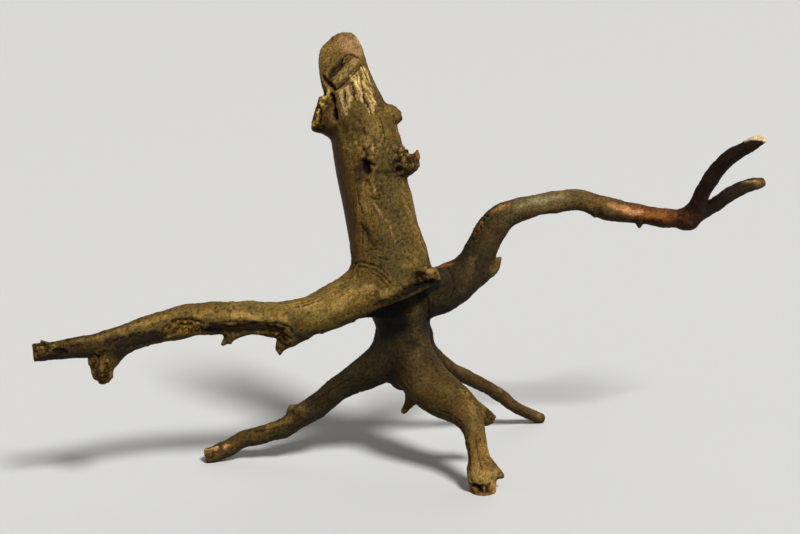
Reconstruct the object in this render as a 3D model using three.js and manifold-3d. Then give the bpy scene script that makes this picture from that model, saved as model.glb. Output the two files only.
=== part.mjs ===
// A dry root: a sawn trunk that stands on three root legs, with a long root arm to each side.
// Millimetres, +Z up, -Y to the front. The three feet stand on Z = 0, and the origin is under the
// middle of the root's box. The whole root grew as one piece, so it is one mesh: every limb is a
// tapered tube along a curve, and the tubes are joined into one solid.

import * as THREE from "three";
import { mergeVertices } from "three/addons/utils/BufferGeometryUtils.js";
import Module from "manifold-3d";

const wasm = await Module();
wasm.setup();

// Driving dimensions
const RING_STEP = 0.7; // distance between a tube's rings, as a share of its mean radius
const LEAST_RINGS = 3;
const END_ROUND = 0.82; // radius of a tube's last ring, as a share of the limb's radius there
const FLOOR_CUT = 40; // thickness of the slab that levels the feet
const FLOOR_SIZE = 600;
const SAW_CUT_POINT = [-44.3, 0.5, 242.8]; // middle of the sawn face at the trunk's top
const SAW_CUT_NORMAL = [-0.36, -0.64, 0.68]; // it looks up, to the front and to the left
const SAW_CUT_SIZE = 60;
const UNDERCUT_SIZE = [62, 24, 34]; // the hollow under the trunk's front edge
const UNDERCUT_EDGE = [-8, -24, 108.5]; // middle of its upper edge at the back
const UNDERCUT_SLOPE = -0.42; // it rises to the right, in radians about Y
const BARK = { color: 0x6a5535, roughness: 0.85, metalness: 0 };

// Each station of a limb is [x, y, z, radius]. An oval section is wider one way by that share,
// turned by turn, and flutes are three shallow ridges that wind along the limb.
const LIMBS = {
  trunk: {
    sides: 26,
    oval: 0.04,
    flute: 0.03,
    stations: [
      [-8, -5, 55, 9],
      [-8, -4, 63, 13.5],
      [-9, -5, 79, 14.6],
      [-10, -7, 92, 15.2],
      [-11.5, -10.5, 104, 18],
      [-14, -12.5, 115, 21.4],
      [-15.5, -12.5, 124, 22.2],
      [-18.4, -12, 138, 21],
      [-22.9, -10, 160, 20.1],
      [-26.8, -8, 180, 20.1],
      [-30.2, -6, 198, 19.6],
      [-35, -4, 213, 17.2],
      [-40, -2, 228, 14.6],
      [-44.3, 1, 242, 13.7],
      [-50, 4, 262, 13],
    ],
  },
  left_arm: {
    sides: 18,
    oval: 0.07,
    turn: 0.6,
    flute: 0.03,
    stations: [
      [-13, -16, 115, 15.5],
      [-30, -22, 109.8, 14.4],
      [-43, -27, 105.6, 12.6],
      [-59, -32, 99.4, 11.6],
      [-75, -35, 97, 10.6],
      [-91, -37, 98, 9.6],
      [-122, -43, 99.7, 9.3],
      [-137, -47, 97.5, 9.1],
      [-152, -51, 94.6, 8.2],
      [-167, -56, 90.6, 7.2],
      [-182, -60, 88.8, 6.2],
      [-197, -64, 87.6, 5.5],
      [-212.5, -68, 86.8, 5.2],
    ],
  },
  left_arm_spur: {
    sides: 12,
    stations: [
      [-69, -35, 92, 9.5],
      [-74, -36, 86.5, 6.5],
      [-79.5, -37, 80, 2],
    ],
  },
  left_arm_hook: {
    sides: 8,
    stations: [
      [-100, -40, 94, 5.4],
      [-105.5, -42, 89.5, 4],
      [-110, -44, 85.5, 1.7],
    ],
  },
  left_arm_prong: {
    sides: 12,
    stations: [
      [-168, -56, 89, 7.5],
      [-174.5, -58, 79, 6.4],
      [-177, -60, 73.5, 5.4],
      [-176, -60, 69, 3],
    ],
  },
  right_arm: {
    sides: 16,
    oval: 0.06,
    turn: 1.2,
    flute: 0.03,
    stations: [
      [-9, -6, 101, 14.5],
      [14, -4, 107.5, 13.8],
      [29.5, 0, 115.5, 11.4],
      [38, 4, 129.5, 9.4],
      [44.3, 8, 141, 9.3],
      [52.3, 12, 148, 7.9],
      [64, 15, 152.3, 6.8],
      [80, 19, 154.5, 6.5],
      [97, 22, 155.6, 6.7],
      [113, 24, 150.2, 6.9],
      [132, 25, 146.8, 6],
      [149, 26, 144.3, 5.6],
      [165, 26, 143.6, 5],
    ],
  },
  right_arm_spur: {
    sides: 8,
    stations: [
      [38, 0, 117, 7],
      [44.2, 1, 119, 4.2],
      [48.7, 1, 124.6, 1.3],
    ],
  },
  upper_twig: {
    sides: 10,
    stations: [
      [163, 26, 143.6, 5.2],
      [168, 23, 153.5, 5.2],
      [171.6, 20, 163.5, 5],
      [177.6, 15, 176, 4.7],
      [185, 10, 184.4, 4.2],
      [193, 5, 191.2, 3.9],
      [201, 1, 196.6, 3],
    ],
  },
  lower_twig: {
    sides: 10,
    stations: [
      [162, 26, 143, 5],
      [174, 30, 148, 4.6],
      [184, 35, 153, 4.4],
      [193, 39, 157.3, 4.4],
      [202, 43, 160.6, 4.2],
      [213, 47, 162, 3.2],
    ],
  },
  front_leg: {
    sides: 18,
    oval: 0.05,
    stations: [
      [-8, -5, 78, 13.5],
      [-1, -12, 63, 13.8],
      [8, -20, 52.5, 13.8],
      [18, -28, 47.6, 12.6],
      [27.3, -37, 42.4, 9.6],
      [32, -43.5, 35, 6.7],
      [33.6, -47, 27, 6.1],
      [35.3, -50, 19, 6.7],
      [36.3, -51.5, 11, 8.2],
      [37.3, -52.5, 2, 7.7],
      [37.3, -53.5, -5, 7],
    ],
  },
  front_foot_nub: {
    sides: 8,
    stations: [
      [40, -52, 13.5, 5.5],
      [45, -51, 10.5, 3.6],
      [48.5, -50, 8.5, 1.6],
    ],
  },
  front_leg_stump: {
    sides: 12,
    stations: [
      [27, -28, 44, 6.2],
      [36.5, -22, 36.8, 5],
      [43, -19, 31.6, 4.4],
    ],
  },
  front_leg_twig: {
    sides: 6,
    stations: [
      [-2, -15, 45, 5],
      [-5.5, -16, 39.5, 2.6],
      [-7.5, -17, 36.8, 1.6],
    ],
  },
  left_leg: {
    sides: 14,
    oval: 0.06,
    stations: [
      [-9, -6, 78, 13],
      [-19, -7, 65, 11.4],
      [-30, -7, 56.5, 9.8],
      [-45, -5, 48, 7.6],
      [-58, -4, 36.6, 7.5],
      [-70, -3, 27.9, 7],
      [-79, -2.5, 21.6, 6.3],
      [-93, -1.5, 16.4, 5.2],
      [-105, -1.5, 13.4, 4.9],
      [-113, -2, 8.8, 5.2],
      [-122, -3, 4.6, 5],
      [-127.5, -3.5, 3.2, 5.1],
    ],
  },
  left_leg_nub: {
    sides: 7,
    stations: [
      [-72, -3, 29.5, 4.5],
      [-74.5, -3, 32.8, 3],
      [-75.3, -3, 34.4, 1.6],
    ],
  },
  back_leg: {
    sides: 11,
    stations: [
      [-1.5, 0, 87, 9.6],
      [2.6, 7, 77, 6.9],
      [6, 13, 67.8, 5],
      [12, 20, 59.4, 4.4],
      [21, 29, 49.4, 4.2],
      [31, 37, 41.2, 4.1],
      [42, 45, 33.2, 4.1],
      [54, 54, 23.4, 4.1],
      [66, 62, 12.2, 4.1],
      [82.5, 71, 1.6, 3.9],
    ],
  },
  broken_ledge: {
    sides: 14,
    oval: 0.12,
    turn: 0.3,
    stations: [
      [-20, -20, 112, 13],
      [-11, -25, 111, 10],
      [-3, -29.5, 114.5, 7.4],
      [4, -33, 120, 5.2],
      [9, -34.5, 123.5, 3.8],
    ],
  },
  trunk_burl: {
    sides: 14,
    stations: [
      [-15.5, -12, 184, 12.5],
      [-8.5, -13, 184, 8.8],
      [-4, -13, 184.5, 6],
      [-1, -13.5, 187.6, 2.4],
    ],
  },
  trunk_bump: {
    sides: 10,
    stations: [
      [-20, -6, 209, 9],
      [-15.2, -5.5, 209.8, 6.7],
      [-12.3, -5, 209.4, 4.6],
    ],
  },
  torn_branch: {
    sides: 14,
    oval: 0.1,
    stations: [
      [-42, -5, 204, 10.5],
      [-50, -7, 209.3, 10.7],
      [-58.4, -8, 211.6, 9.9],
    ],
  },
};

const material = new THREE.MeshStandardMaterial(BARK);

// A closed cylinder, bent along the limb's path and tapered. Its last ring is drawn in, so that
// the end has a round edge.
function limbGeometry({ stations, sides, oval = 0, turn = 0, flute = 0 }) {
  const path = new THREE.CatmullRomCurve3(
    stations.map(([x, y, z]) => new THREE.Vector3(x, y, z)),
  );
  const radii = new THREE.SplineCurve(
    stations.map(([, , , radius], i) => new THREE.Vector2(i, radius)),
  );
  const meanRadius = stations.reduce((sum, s) => sum + s[3], 0) / stations.length;
  const steps = Math.max(LEAST_RINGS, Math.round(path.getLength() / (RING_STEP * meanRadius)));
  const frames = path.computeFrenetFrames(steps, false);

  const cylinder = new THREE.CylinderGeometry(1, 1, steps, sides, steps);
  cylinder.deleteAttribute("normal").deleteAttribute("uv");
  const limb = mergeVertices(cylinder);
  const position = limb.getAttribute("position");
  for (let v = 0; v < position.count; v++) {
    const [x, z] = [position.getX(v), position.getZ(v)];
    const ring = Math.round(position.getY(v) + steps / 2);
    const u = ring / steps;
    const angle = Math.atan2(z, x);
    const ripple = flute * Math.cos(3 * angle + Math.PI * u);
    const drawnIn = ring === steps ? END_ROUND : 1;
    const radius = drawnIn * radii.getPoint(path.getUtoTmapping(u)).y;
    const reach = radius * (1 + oval * Math.cos(2 * (angle - turn)) + ripple);
    const point = path
      .getPointAt(u)
      .addScaledVector(frames.normals[ring], reach * x)
      .addScaledVector(frames.binormals[ring], -reach * z);
    position.setXYZ(v, point.x, point.y, point.z);
  }
  return limb;
}

function toSolid(geometry) {
  const vertProperties = geometry.getAttribute("position").array;
  const triVerts = new Uint32Array(geometry.index.array);
  return new wasm.Manifold(new wasm.Mesh({ numProp: 3, vertProperties, triVerts }));
}

function toGeometry(solid) {
  const mesh = solid.getMesh();
  return new THREE.BufferGeometry()
    .setAttribute("position", new THREE.BufferAttribute(mesh.vertProperties, 3))
    .setIndex(new THREE.BufferAttribute(mesh.triVerts, 1));
}

// A box as a solid with shared corners, moved into place by a matrix.
function boxSolid(width, depth, height, matrix) {
  const box = new THREE.BoxGeometry(width, depth, height).applyMatrix4(matrix);
  box.deleteAttribute("normal").deleteAttribute("uv");
  return toSolid(mergeVertices(box));
}

// What lies above the sawn face: a box that stands on it.
function sawnOff() {
  const normal = new THREE.Vector3(...SAW_CUT_NORMAL).normalize();
  const turned = new THREE.Quaternion().setFromUnitVectors(new THREE.Vector3(0, 0, 1), normal);
  const middle = new THREE.Vector3(...SAW_CUT_POINT).addScaledVector(normal, SAW_CUT_SIZE / 2);
  const placed = new THREE.Matrix4().compose(middle, turned, new THREE.Vector3(1, 1, 1));
  return boxSolid(SAW_CUT_SIZE, SAW_CUT_SIZE, SAW_CUT_SIZE, placed);
}

// The hollow under the trunk's front edge, which leaves the stem set back: a box under a slope.
function undercut() {
  const [width, depth, height] = UNDERCUT_SIZE;
  const hung = new THREE.Matrix4().makeTranslation(0, -depth / 2, -height / 2);
  const placed = new THREE.Matrix4()
    .makeTranslation(...UNDERCUT_EDGE)
    .multiply(new THREE.Matrix4().makeRotationY(UNDERCUT_SLOPE))
    .multiply(hung);
  return boxSolid(width, depth, height, placed);
}

// What lies under the floor, so that each foot stands on a flat.
function underFloor() {
  const placed = new THREE.Matrix4().makeTranslation(0, 0, -FLOOR_CUT / 2);
  return boxSolid(FLOOR_SIZE, FLOOR_SIZE, FLOOR_CUT, placed);
}

function dryRoot() {
  const { trunk, ...grownOn } = LIMBS;
  let wood = toSolid(limbGeometry(trunk)).subtract(sawnOff());
  for (const limb of Object.values(grownOn)) wood = wood.add(toSolid(limbGeometry(limb)));
  wood = wood.subtract(undercut()).subtract(underFloor());
  const mesh = new THREE.Mesh(toGeometry(wood), material);
  mesh.name = "dry_root";
  return mesh;
}

const part = new THREE.Group();
part.add(dryRoot());
export default part;
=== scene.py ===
import itertools
import math
from typing import NamedTuple

import bmesh
import bpy
import numpy as np
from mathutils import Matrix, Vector


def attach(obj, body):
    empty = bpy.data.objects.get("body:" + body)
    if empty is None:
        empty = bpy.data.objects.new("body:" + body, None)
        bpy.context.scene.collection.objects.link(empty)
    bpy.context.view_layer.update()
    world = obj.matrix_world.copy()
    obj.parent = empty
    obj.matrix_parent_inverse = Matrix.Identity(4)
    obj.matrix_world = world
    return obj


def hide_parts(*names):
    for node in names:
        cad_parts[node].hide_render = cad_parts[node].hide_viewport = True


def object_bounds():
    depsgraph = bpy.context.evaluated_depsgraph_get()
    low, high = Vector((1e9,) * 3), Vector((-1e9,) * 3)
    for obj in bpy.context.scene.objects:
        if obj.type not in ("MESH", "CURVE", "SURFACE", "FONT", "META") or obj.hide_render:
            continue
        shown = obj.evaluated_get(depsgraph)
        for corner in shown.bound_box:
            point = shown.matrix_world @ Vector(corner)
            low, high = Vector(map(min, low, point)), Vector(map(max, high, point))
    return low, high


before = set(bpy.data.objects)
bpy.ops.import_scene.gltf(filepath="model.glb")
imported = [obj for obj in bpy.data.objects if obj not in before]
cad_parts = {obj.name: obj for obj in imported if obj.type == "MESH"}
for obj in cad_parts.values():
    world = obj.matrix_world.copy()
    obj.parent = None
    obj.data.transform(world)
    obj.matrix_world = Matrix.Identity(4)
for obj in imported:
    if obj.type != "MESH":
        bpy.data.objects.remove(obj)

# A dry root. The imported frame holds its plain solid; this script grows the finished wood on it: one
# closed mesh with the bark's relief, its cracks, knots and torn places as real shape, and a wood
# material that takes its colours from the same places. Tables are in millimetres, in the frame's
# own axes: +Z up, -Y to the front.
MM = 0.001
CAD_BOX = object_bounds()
NODE = "dry_root"

# The wood's mesh and its relief, in millimetres
VOXEL = 0.84  # spacing of the mesh
TUBE_SIDES = 8  # corners of a detail's tube, under the even mesh
STEP = 1.5  # spacing of the samples along a limb's path
REACH = 30  # how far from a limb its distance is worked out
FAR = 60  # the distance given beyond that
ROUNDS = 4  # how often the mesh is drawn onto the smooth root
SMOOTHINGS = 3  # how often it is smoothed before each
SMOOTHING = 0.5  # how far towards the middle of its neighbours that moves a point
GRAIN_RUN = 7  # how many times longer than wide the wood's grain is
GRAIN_BLEND = 1.6  # how gradually one limb's grain gives way to the next one's
GRAIN_SHIFT = (31.7, -17.3, 11.9)  # sets each limb's grain off from the one before it
DEEPEST, HIGHEST = -4.0, 2.4  # how far the relief may go in and out
MARK_STEP = 1.0  # spacing of the samples along a mark
NOTCH_WIDTH = 2.2  # how many times wider than deep the notches of a mark's ragged edge are

# The bark's relief: how high each layer stands and how wide its features are, in millimetres
SLOW_HEIGHT, SLOW_WIDTH = 0.9, 15
RIDGE_HEIGHT, RIDGE_WIDTH = 0.16, 4.2
FURROW_DEPTH, FURROW_WIDTH = 0.16, 6
FURROW_EDGE = 0.3  # the furrows follow the lines where their noise is 0, up to this value beside them
ROUGH_WIDTH = 14  # of the places where the bark is rougher
ROUGH_LIMITS = (-0.3, 0.6)  # values of their noise where it begins and where it is roughest
PIT_DEPTH, ROUGH_PIT_DEPTH, PIT_WIDTH = 0.2, 0.2, 2.1  # the second is added where it is rougher
CELL = 2.6  # size of the small cells, of which some hold a raised fleck or a nick
FLECK_SHARE, FLECK_HEIGHT = 0.14, 0.2
NICK_SHARE, NICK_DEPTH = 0.07, 0.3
FIBRE_WIDTH, CRUMB_WIDTH = 1.4, 2.3
GRIT_HEIGHT, GRIT_WIDTH = 0.45, 3.4  # of the uneven ground under the crumbs
SPOT_SIZE, SPOT_SPREAD, SPOT_TOP = 0.2, 0.35, 0.4  # least size, spread and flat top of a fleck or nick

# The bark's colour: how much each layer lightens or darkens it, and how wide its patches are
CLOUD_SHADE, CLOUD_WIDTH = 0.14, 24
PATCH_SHADE, PATCH_WIDTH = 0.26, 9
STREAK_SHADE, STREAK_WIDTH = 0.06, 2.4
DOT_SHADE, DOT_WIDTH = 0.08, 2.2
CELL_SHADE = 0.2
MOTTLE = 1.3  # how strong all of these are together
WARMTH, WARMTH_WIDTH = 0.12, 7
UNDERSIDE_PAINTED_SHADE = 0.45  # how much darker the undersides are painted, as painted shade
UNDER_LIMITS = (0.1, -0.8)  # the normal's height where that begins and where it is full
RELIEF_SHADE = 1.3  # how much the colour darkens between a torn place's fibres and crumbs
HOLLOW_SHADE, HOLLOW_DEPTH = 0.77, 0.12  # how much dirt and painted shade darken it in a dip of that depth
HOLLOW_LIMITS = (-0.35, 1.0)
TONE_LIMITS = (0.002, 0.95)

SEEDS = {"slow": 3, "ridges": 11, "furrows": 21, "pits": 31, "flecks": 33, "nicks": 35, "rough": 41,
         "fibres": 51, "crumbs": 61, "grit": 63, "patches": 71, "clouds": 73, "dots": 75,
         "streaks": 81, "warmth": 91, "marks": 100}

# The material's fine detail: noise in cells to the metre, or to the grain's step
GRAIN_NOISE = {"scale": 1.3, "detail": 4.0, "roughness": 0.55}
GRIT_NOISE = {"scale": 1500.0, "detail": 3.0, "roughness": 0.65}
BLOTCH_NOISE = {"scale": 380.0, "detail": 3.0, "roughness": 0.6}
SPECK_NOISE = {"scale": 1100.0, "detail": 2.0, "roughness": 0.55}
FUZZ_NOISE = {"scale": 2800.0, "detail": 2.0, "roughness": 0.6}
GRAIN_LIGHT, GRIT_LIGHT, BLOTCH_LIGHT = 0.7, 2.6, 1.0  # how much each lightens or darkens the colour
# pale specks: partly dust and partly painted glints
SPECK_LIGHT, SPECK_FROM = 6.0, 0.6
BARE_CONTRAST = 0.5  # how much stronger they are on bare wood
LEAST_LIGHT = 0.25
ROUGHNESS, GRIT_ROUGHNESS, BARE_ROUGHNESS, SHINE_ROUGHNESS = 0.38, 0.5, 0.15, -0.22
SPECULAR = 0.11
FUZZ_BUMP = (0.6, 0.0003)  # strength, and distance in metres
GRIT_BUMP = (0.9, 0.0006)
GRAIN_BUMP = (0.8, 0.0004)

# The camera, seen from the middle of the root's box, and the studio
CAMERA_OFFSET = (-0.0102, -0.8934, 0.1979)
CAMERA_TILT = 13  # how far down the camera looks, in degrees
LENS, SENSOR = 70, 36
CLIP_START = 0.01
FLOOR_HALF = 12
FLOOR_COLOUR = (214, 216, 218)
FLOOR_ROUGHNESS = 0.9
WORLD_COLOUR = (242, 236, 224)
WORLD_STRENGTH = 0.15
SUNS = {  # the way to each wide soft light, its strength, its spread in degrees and its colour
    "key": ((0.36, -0.62, 0.85), 3.4, 14, (1.0, 0.98, 0.93)),
    "back": ((0.3, 0.8, 0.6), 0.45, 70, (1.0, 0.97, 0.92)),
    "fill": ((-0.8, -0.7, 0.5), 0.12, 60, (1.0, 0.96, 0.9)),
}

# Each station of a limb is (x, y, z, radius), as in the solid that the frame was packed from.
LIMBS = {
    "trunk": [(-8, -5, 55, 9), (-8, -4, 63, 13.5), (-9, -5, 79, 14.6), (-10, -7, 92, 15.2),
        (-11.5, -10.5, 104, 18), (-14, -12.5, 115, 21.4), (-15.5, -12.5, 124, 22.2),
        (-18.4, -12, 138, 21), (-22.9, -10, 160, 20.1), (-26.8, -8, 180, 20.1), (-30.2, -6, 198, 19.6),
        (-35, -4, 213, 17.2), (-40, -2, 228, 14.6), (-44.3, 1, 242, 13.7), (-50, 4, 262, 13)],
    "left_arm": [(-13, -16, 115, 15.5), (-30, -22, 109.8, 14.4), (-43, -27, 105.6, 12.6),
        (-59, -32, 99.4, 11.6), (-75, -35, 97, 10.6), (-91, -37, 98, 9.6), (-122, -43, 99.7, 9.3),
        (-137, -47, 97.5, 9.1), (-152, -51, 94.6, 8.2), (-167, -56, 90.6, 7.2), (-182, -60, 88.8, 6.2),
        (-197, -64, 87.6, 5.5), (-212.5, -68, 86.8, 5.2)],
    "left_arm_spur": [(-69, -35, 92, 9.5), (-74, -36, 86.5, 6.5), (-79.5, -37, 80, 2)],
    "left_arm_hook": [(-100, -40, 94, 5.4), (-105.5, -42, 89.5, 4), (-110, -44, 85.5, 1.7)],
    "left_arm_prong": [(-168, -56, 89, 7.5), (-174.5, -58, 79, 6.4), (-177, -60, 73.5, 5.4),
        (-176, -60, 69, 3)],
    "right_arm": [(-9, -6, 101, 14.5), (14, -4, 107.5, 13.8), (29.5, 0, 115.5, 11.4),
        (38, 4, 129.5, 9.4), (44.3, 8, 141, 9.3), (52.3, 12, 148, 7.9), (64, 15, 152.3, 6.8),
        (80, 19, 154.5, 6.5), (97, 22, 155.6, 6.7), (113, 24, 150.2, 6.9), (132, 25, 146.8, 6),
        (149, 26, 144.3, 5.6), (165, 26, 143.6, 5)],
    "right_arm_spur": [(38, 0, 117, 7), (44.2, 1, 119, 4.2), (48.7, 1, 124.6, 1.3)],
    "upper_twig": [(163, 26, 143.6, 5.2), (168, 23, 153.5, 5.2), (171.6, 20, 163.5, 5),
        (177.6, 15, 176, 4.7), (185, 10, 184.4, 4.2), (193, 5, 191.2, 3.9), (201, 1, 196.6, 3)],
    "lower_twig": [(162, 26, 143, 5), (174, 30, 148, 4.6), (184, 35, 153, 4.4), (193, 39, 157.3, 4.4),
        (202, 43, 160.6, 4.2), (213, 47, 162, 3.2)],
    "front_leg": [(-8, -5, 78, 13.5), (-1, -12, 63, 13.8), (8, -20, 52.5, 13.8), (18, -28, 47.6, 12.6),
        (27.3, -37, 42.4, 9.6), (32, -43.5, 35, 6.7), (33.6, -47, 27, 6.1), (35.3, -50, 19, 6.7),
        (36.3, -51.5, 11, 8.2), (37.3, -52.5, 2, 7.7), (37.3, -53.5, -5, 7)],
    "front_foot_nub": [(40, -52, 13.5, 5.5), (45, -51, 10.5, 3.6), (48.5, -50, 8.5, 1.6)],
    "front_leg_stump": [(27, -28, 44, 6.2), (36.5, -22, 36.8, 5), (43, -19, 31.6, 4.4)],
    "front_leg_twig": [(-2, -15, 45, 5), (-5.5, -16, 39.5, 2.6), (-7.5, -17, 36.8, 1.6)],
    "left_leg": [(-9, -6, 78, 13), (-19, -7, 65, 11.4), (-30, -7, 56.5, 9.8), (-45, -5, 48, 7.6),
        (-58, -4, 36.6, 7.5), (-70, -3, 27.9, 7), (-79, -2.5, 21.6, 6.3), (-93, -1.5, 16.4, 5.2),
        (-105, -1.5, 13.4, 4.9), (-113, -2, 8.8, 5.2), (-122, -3, 4.6, 5), (-127.5, -3.5, 3.2, 5.1)],
    "left_leg_nub": [(-72, -3, 29.5, 4.5), (-74.5, -3, 32.8, 3), (-75.3, -3, 34.4, 1.6)],
    "back_leg": [(-1.5, 0, 87, 9.6), (2.6, 7, 77, 6.9), (6, 13, 67.8, 5), (12, 20, 59.4, 4.4),
        (21, 29, 49.4, 4.2), (31, 37, 41.2, 4.1), (42, 45, 33.2, 4.1), (54, 54, 23.4, 4.1),
        (66, 62, 12.2, 4.1), (82.5, 71, 1.6, 3.9)],
    "broken_ledge": [(-20, -20, 112, 13), (-11, -25, 111, 10), (-3, -29.5, 114.5, 7.4),
        (4, -33, 120, 5.2), (9, -34.5, 123.5, 3.8)],
    "trunk_burl": [(-15.5, -12, 184, 12.5), (-8.5, -13, 184, 8.8), (-4, -13, 184.5, 6),
        (-1, -13.5, 187.6, 2.4)],
    "trunk_bump": [(-20, -6, 209, 9), (-15.2, -5.5, 209.8, 6.7), (-12.3, -5, 209.4, 4.6)],
    "torn_branch": [(-42, -5, 204, 10.5), (-50, -7, 209.3, 10.7), (-58.4, -8, 211.6, 9.9)],
}

# Splinters, hooks and lumps too small for that solid
DETAILS = {
    "torn_top": [(-50, -11, 219, 3.4), (-52.6, -12.4, 219.8, 2.6), (-54.4, -12.8, 218.8, 1.6)],
    "torn_mid": [(-52.5, -12.5, 213.5, 3.6), (-55, -14.4, 213, 2.8), (-56.6, -15, 212.4, 1.6)],
    "torn_low": [(-52, -13, 206.5, 3.8), (-56, -14, 206.6, 2.8), (-58, -14, 205.4, 1.8)],
    "torn_lip": [(-49, -12, 218, 2.8), (-50.4, -13.2, 222, 1.9), (-49.8, -13, 224.4, 1)],
    "burl_hook": [(-4, -14, 184.5, 3.2), (-1, -14.5, 187, 1.9), (-0.2, -14.5, 190.8, 0.9)],
    "burl_side": [(-5, -13, 180, 3.4), (-2, -13, 182.5, 2.6)],
    "burl_knob": [(-9, -18, 185, 4), (-8, -20.5, 184, 2.4)],
    "burl_shelf": [(-12, -15, 190, 4), (-9, -16, 192.3, 2.2)],
    "ledge_claw": [(4, -34, 122.5, 3), (9, -36, 122, 1.8), (12.5, -36.5, 120.8, 0.9)],
    "ledge_flake": [(1, -33, 123, 3), (3, -36.5, 126, 2), (4.5, -37, 127.5, 1)],
    "prong_heel": [(-178, -60, 84, 3), (-181, -61.5, 80, 2), (-181, -62, 76, 1.2)],
    "prong_toe": [(-173, -60, 76, 3), (-171.5, -61.5, 71.5, 1.8), (-173, -61.5, 68.5, 1)],
    "tip_flake": [(-205, -67, 91, 2.4), (-207, -68, 93.6, 1.4)],
    "hook_barb": [(-107, -43, 88, 2.2), (-105.8, -44, 85.6, 1.1)],
    "spur_barb": [(-78, -38, 82, 2.6), (-78.8, -38, 77.6, 1.1)],
    "arch_bump": [(133.5, 23, 143, 3), (133.5, 22.5, 139.6, 1.5)],
    "left_nub": [(-69, -6, 32, 2.6), (-68.5, -7, 34.4, 1.4)],
}

# The hollow under the trunk's front edge, as in that solid: a box under a slope
UNDERCUT_SIZE = (62, 24, 34)
UNDERCUT_EDGE = (-8, -24, 108.5)  # middle of its upper edge at the back
UNDERCUT_SLOPE = 0.42  # how it rises to the right, in radians
UNDERCUT_ROUND = 1.2

FRONT = (0, -1, 0)
JOIN = 3  # width of the fillet where a small limb grows out
DETAIL_JOIN = 1.5  # and where a detail does
JOINS = {"left_arm": 9, "right_arm": 8, "front_leg": 5, "left_leg": 5, "back_leg": 3,
         "left_arm_prong": 5, "front_leg_stump": 4, "torn_branch": 2, "broken_ledge": 3,
         "upper_twig": 4, "lower_twig": 6, "trunk_burl": 4, "trunk_bump": 2}
CUT_ROUND = 1.2  # how far a cut end's rim is rounded
CUTS = {  # a slanting cut through a limb's end, as a point on it and the way it faces
    "trunk": ((-44.3, 0.5, 242.8), (-0.36, -0.64, 0.68)),
    "upper_twig": ((197, 3, 197.2), (0.1, -0.55, 0.83)),
}
SQUARE_ENDS = ("left_arm", "upper_twig", "lower_twig", "front_leg_stump", "left_leg", "back_leg",
               "torn_branch")

# Each limb's colours, as (share of the way along it, sRGB colour). The left arm's darkening towards its tip
# and the twigs' dark tints are partly the wood's own colour and partly painted shade.
TINTS = {
    "trunk": [(0, (38, 30, 16)), (0.2, (47, 38, 20)), (0.3, (94, 75, 36)), (0.45, (110, 87, 40)),
        (0.75, (100, 79, 36)), (1, (116, 90, 47))],
    "left_arm": [(0, (110, 88, 41)), (0.3, (115, 93, 44)), (0.5, (105, 84, 38)), (0.62, (96, 77, 37)),
        (0.78, (74, 58, 27)), (0.86, (48, 36, 17)), (1, (44, 32, 15))],
    "right_arm": [(0, (50, 40, 22)), (0.25, (52, 41, 22)), (0.36, (60, 47, 24)), (0.5, (92, 77, 43)),
        (0.75, (98, 74, 38)), (0.9, (94, 54, 24)), (1, (50, 28, 13))],
    "upper_twig": [(0, (48, 25, 11)), (0.3, (34, 20, 11)), (1, (34, 23, 12))],
    "lower_twig": [(0, (40, 23, 12)), (0.3, (32, 21, 12)), (0.8, (40, 29, 16)), (1, (78, 60, 36))],
    "front_leg": [(0, (48, 38, 19)), (0.35, (78, 60, 27)), (0.5, (80, 61, 27)), (0.7, (114, 86, 40)),
        (0.85, (156, 119, 58)), (1, (212, 160, 86))],
    "left_leg": [(0, (43, 35, 19)), (0.5, (50, 39, 20)), (1, (82, 63, 28))],
    "back_leg": [(0, (38, 30, 16)), (0.4, (68, 53, 25)), (1, (82, 62, 31))],
    "broken_ledge": [(0, (96, 77, 38)), (1, (96, 74, 38))],
    "trunk_burl": [(0, (92, 73, 36)), (1, (92, 68, 34))],
}


class Kind(NamedTuple):
    """What a mark on the wood is like. Lengths are in millimetres, and the rest are shares."""

    colour: tuple
    cover: float  # how much of the bark's colour it covers
    soft: float  # width of its edge
    ragged: float  # depth of the notches in its edge
    fibre: float = 0  # how high its fibres stand
    crumb: float = 0  # and its crumbs
    calm: float = 0  # how much it calms the bark's relief
    shine: float = 0


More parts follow.
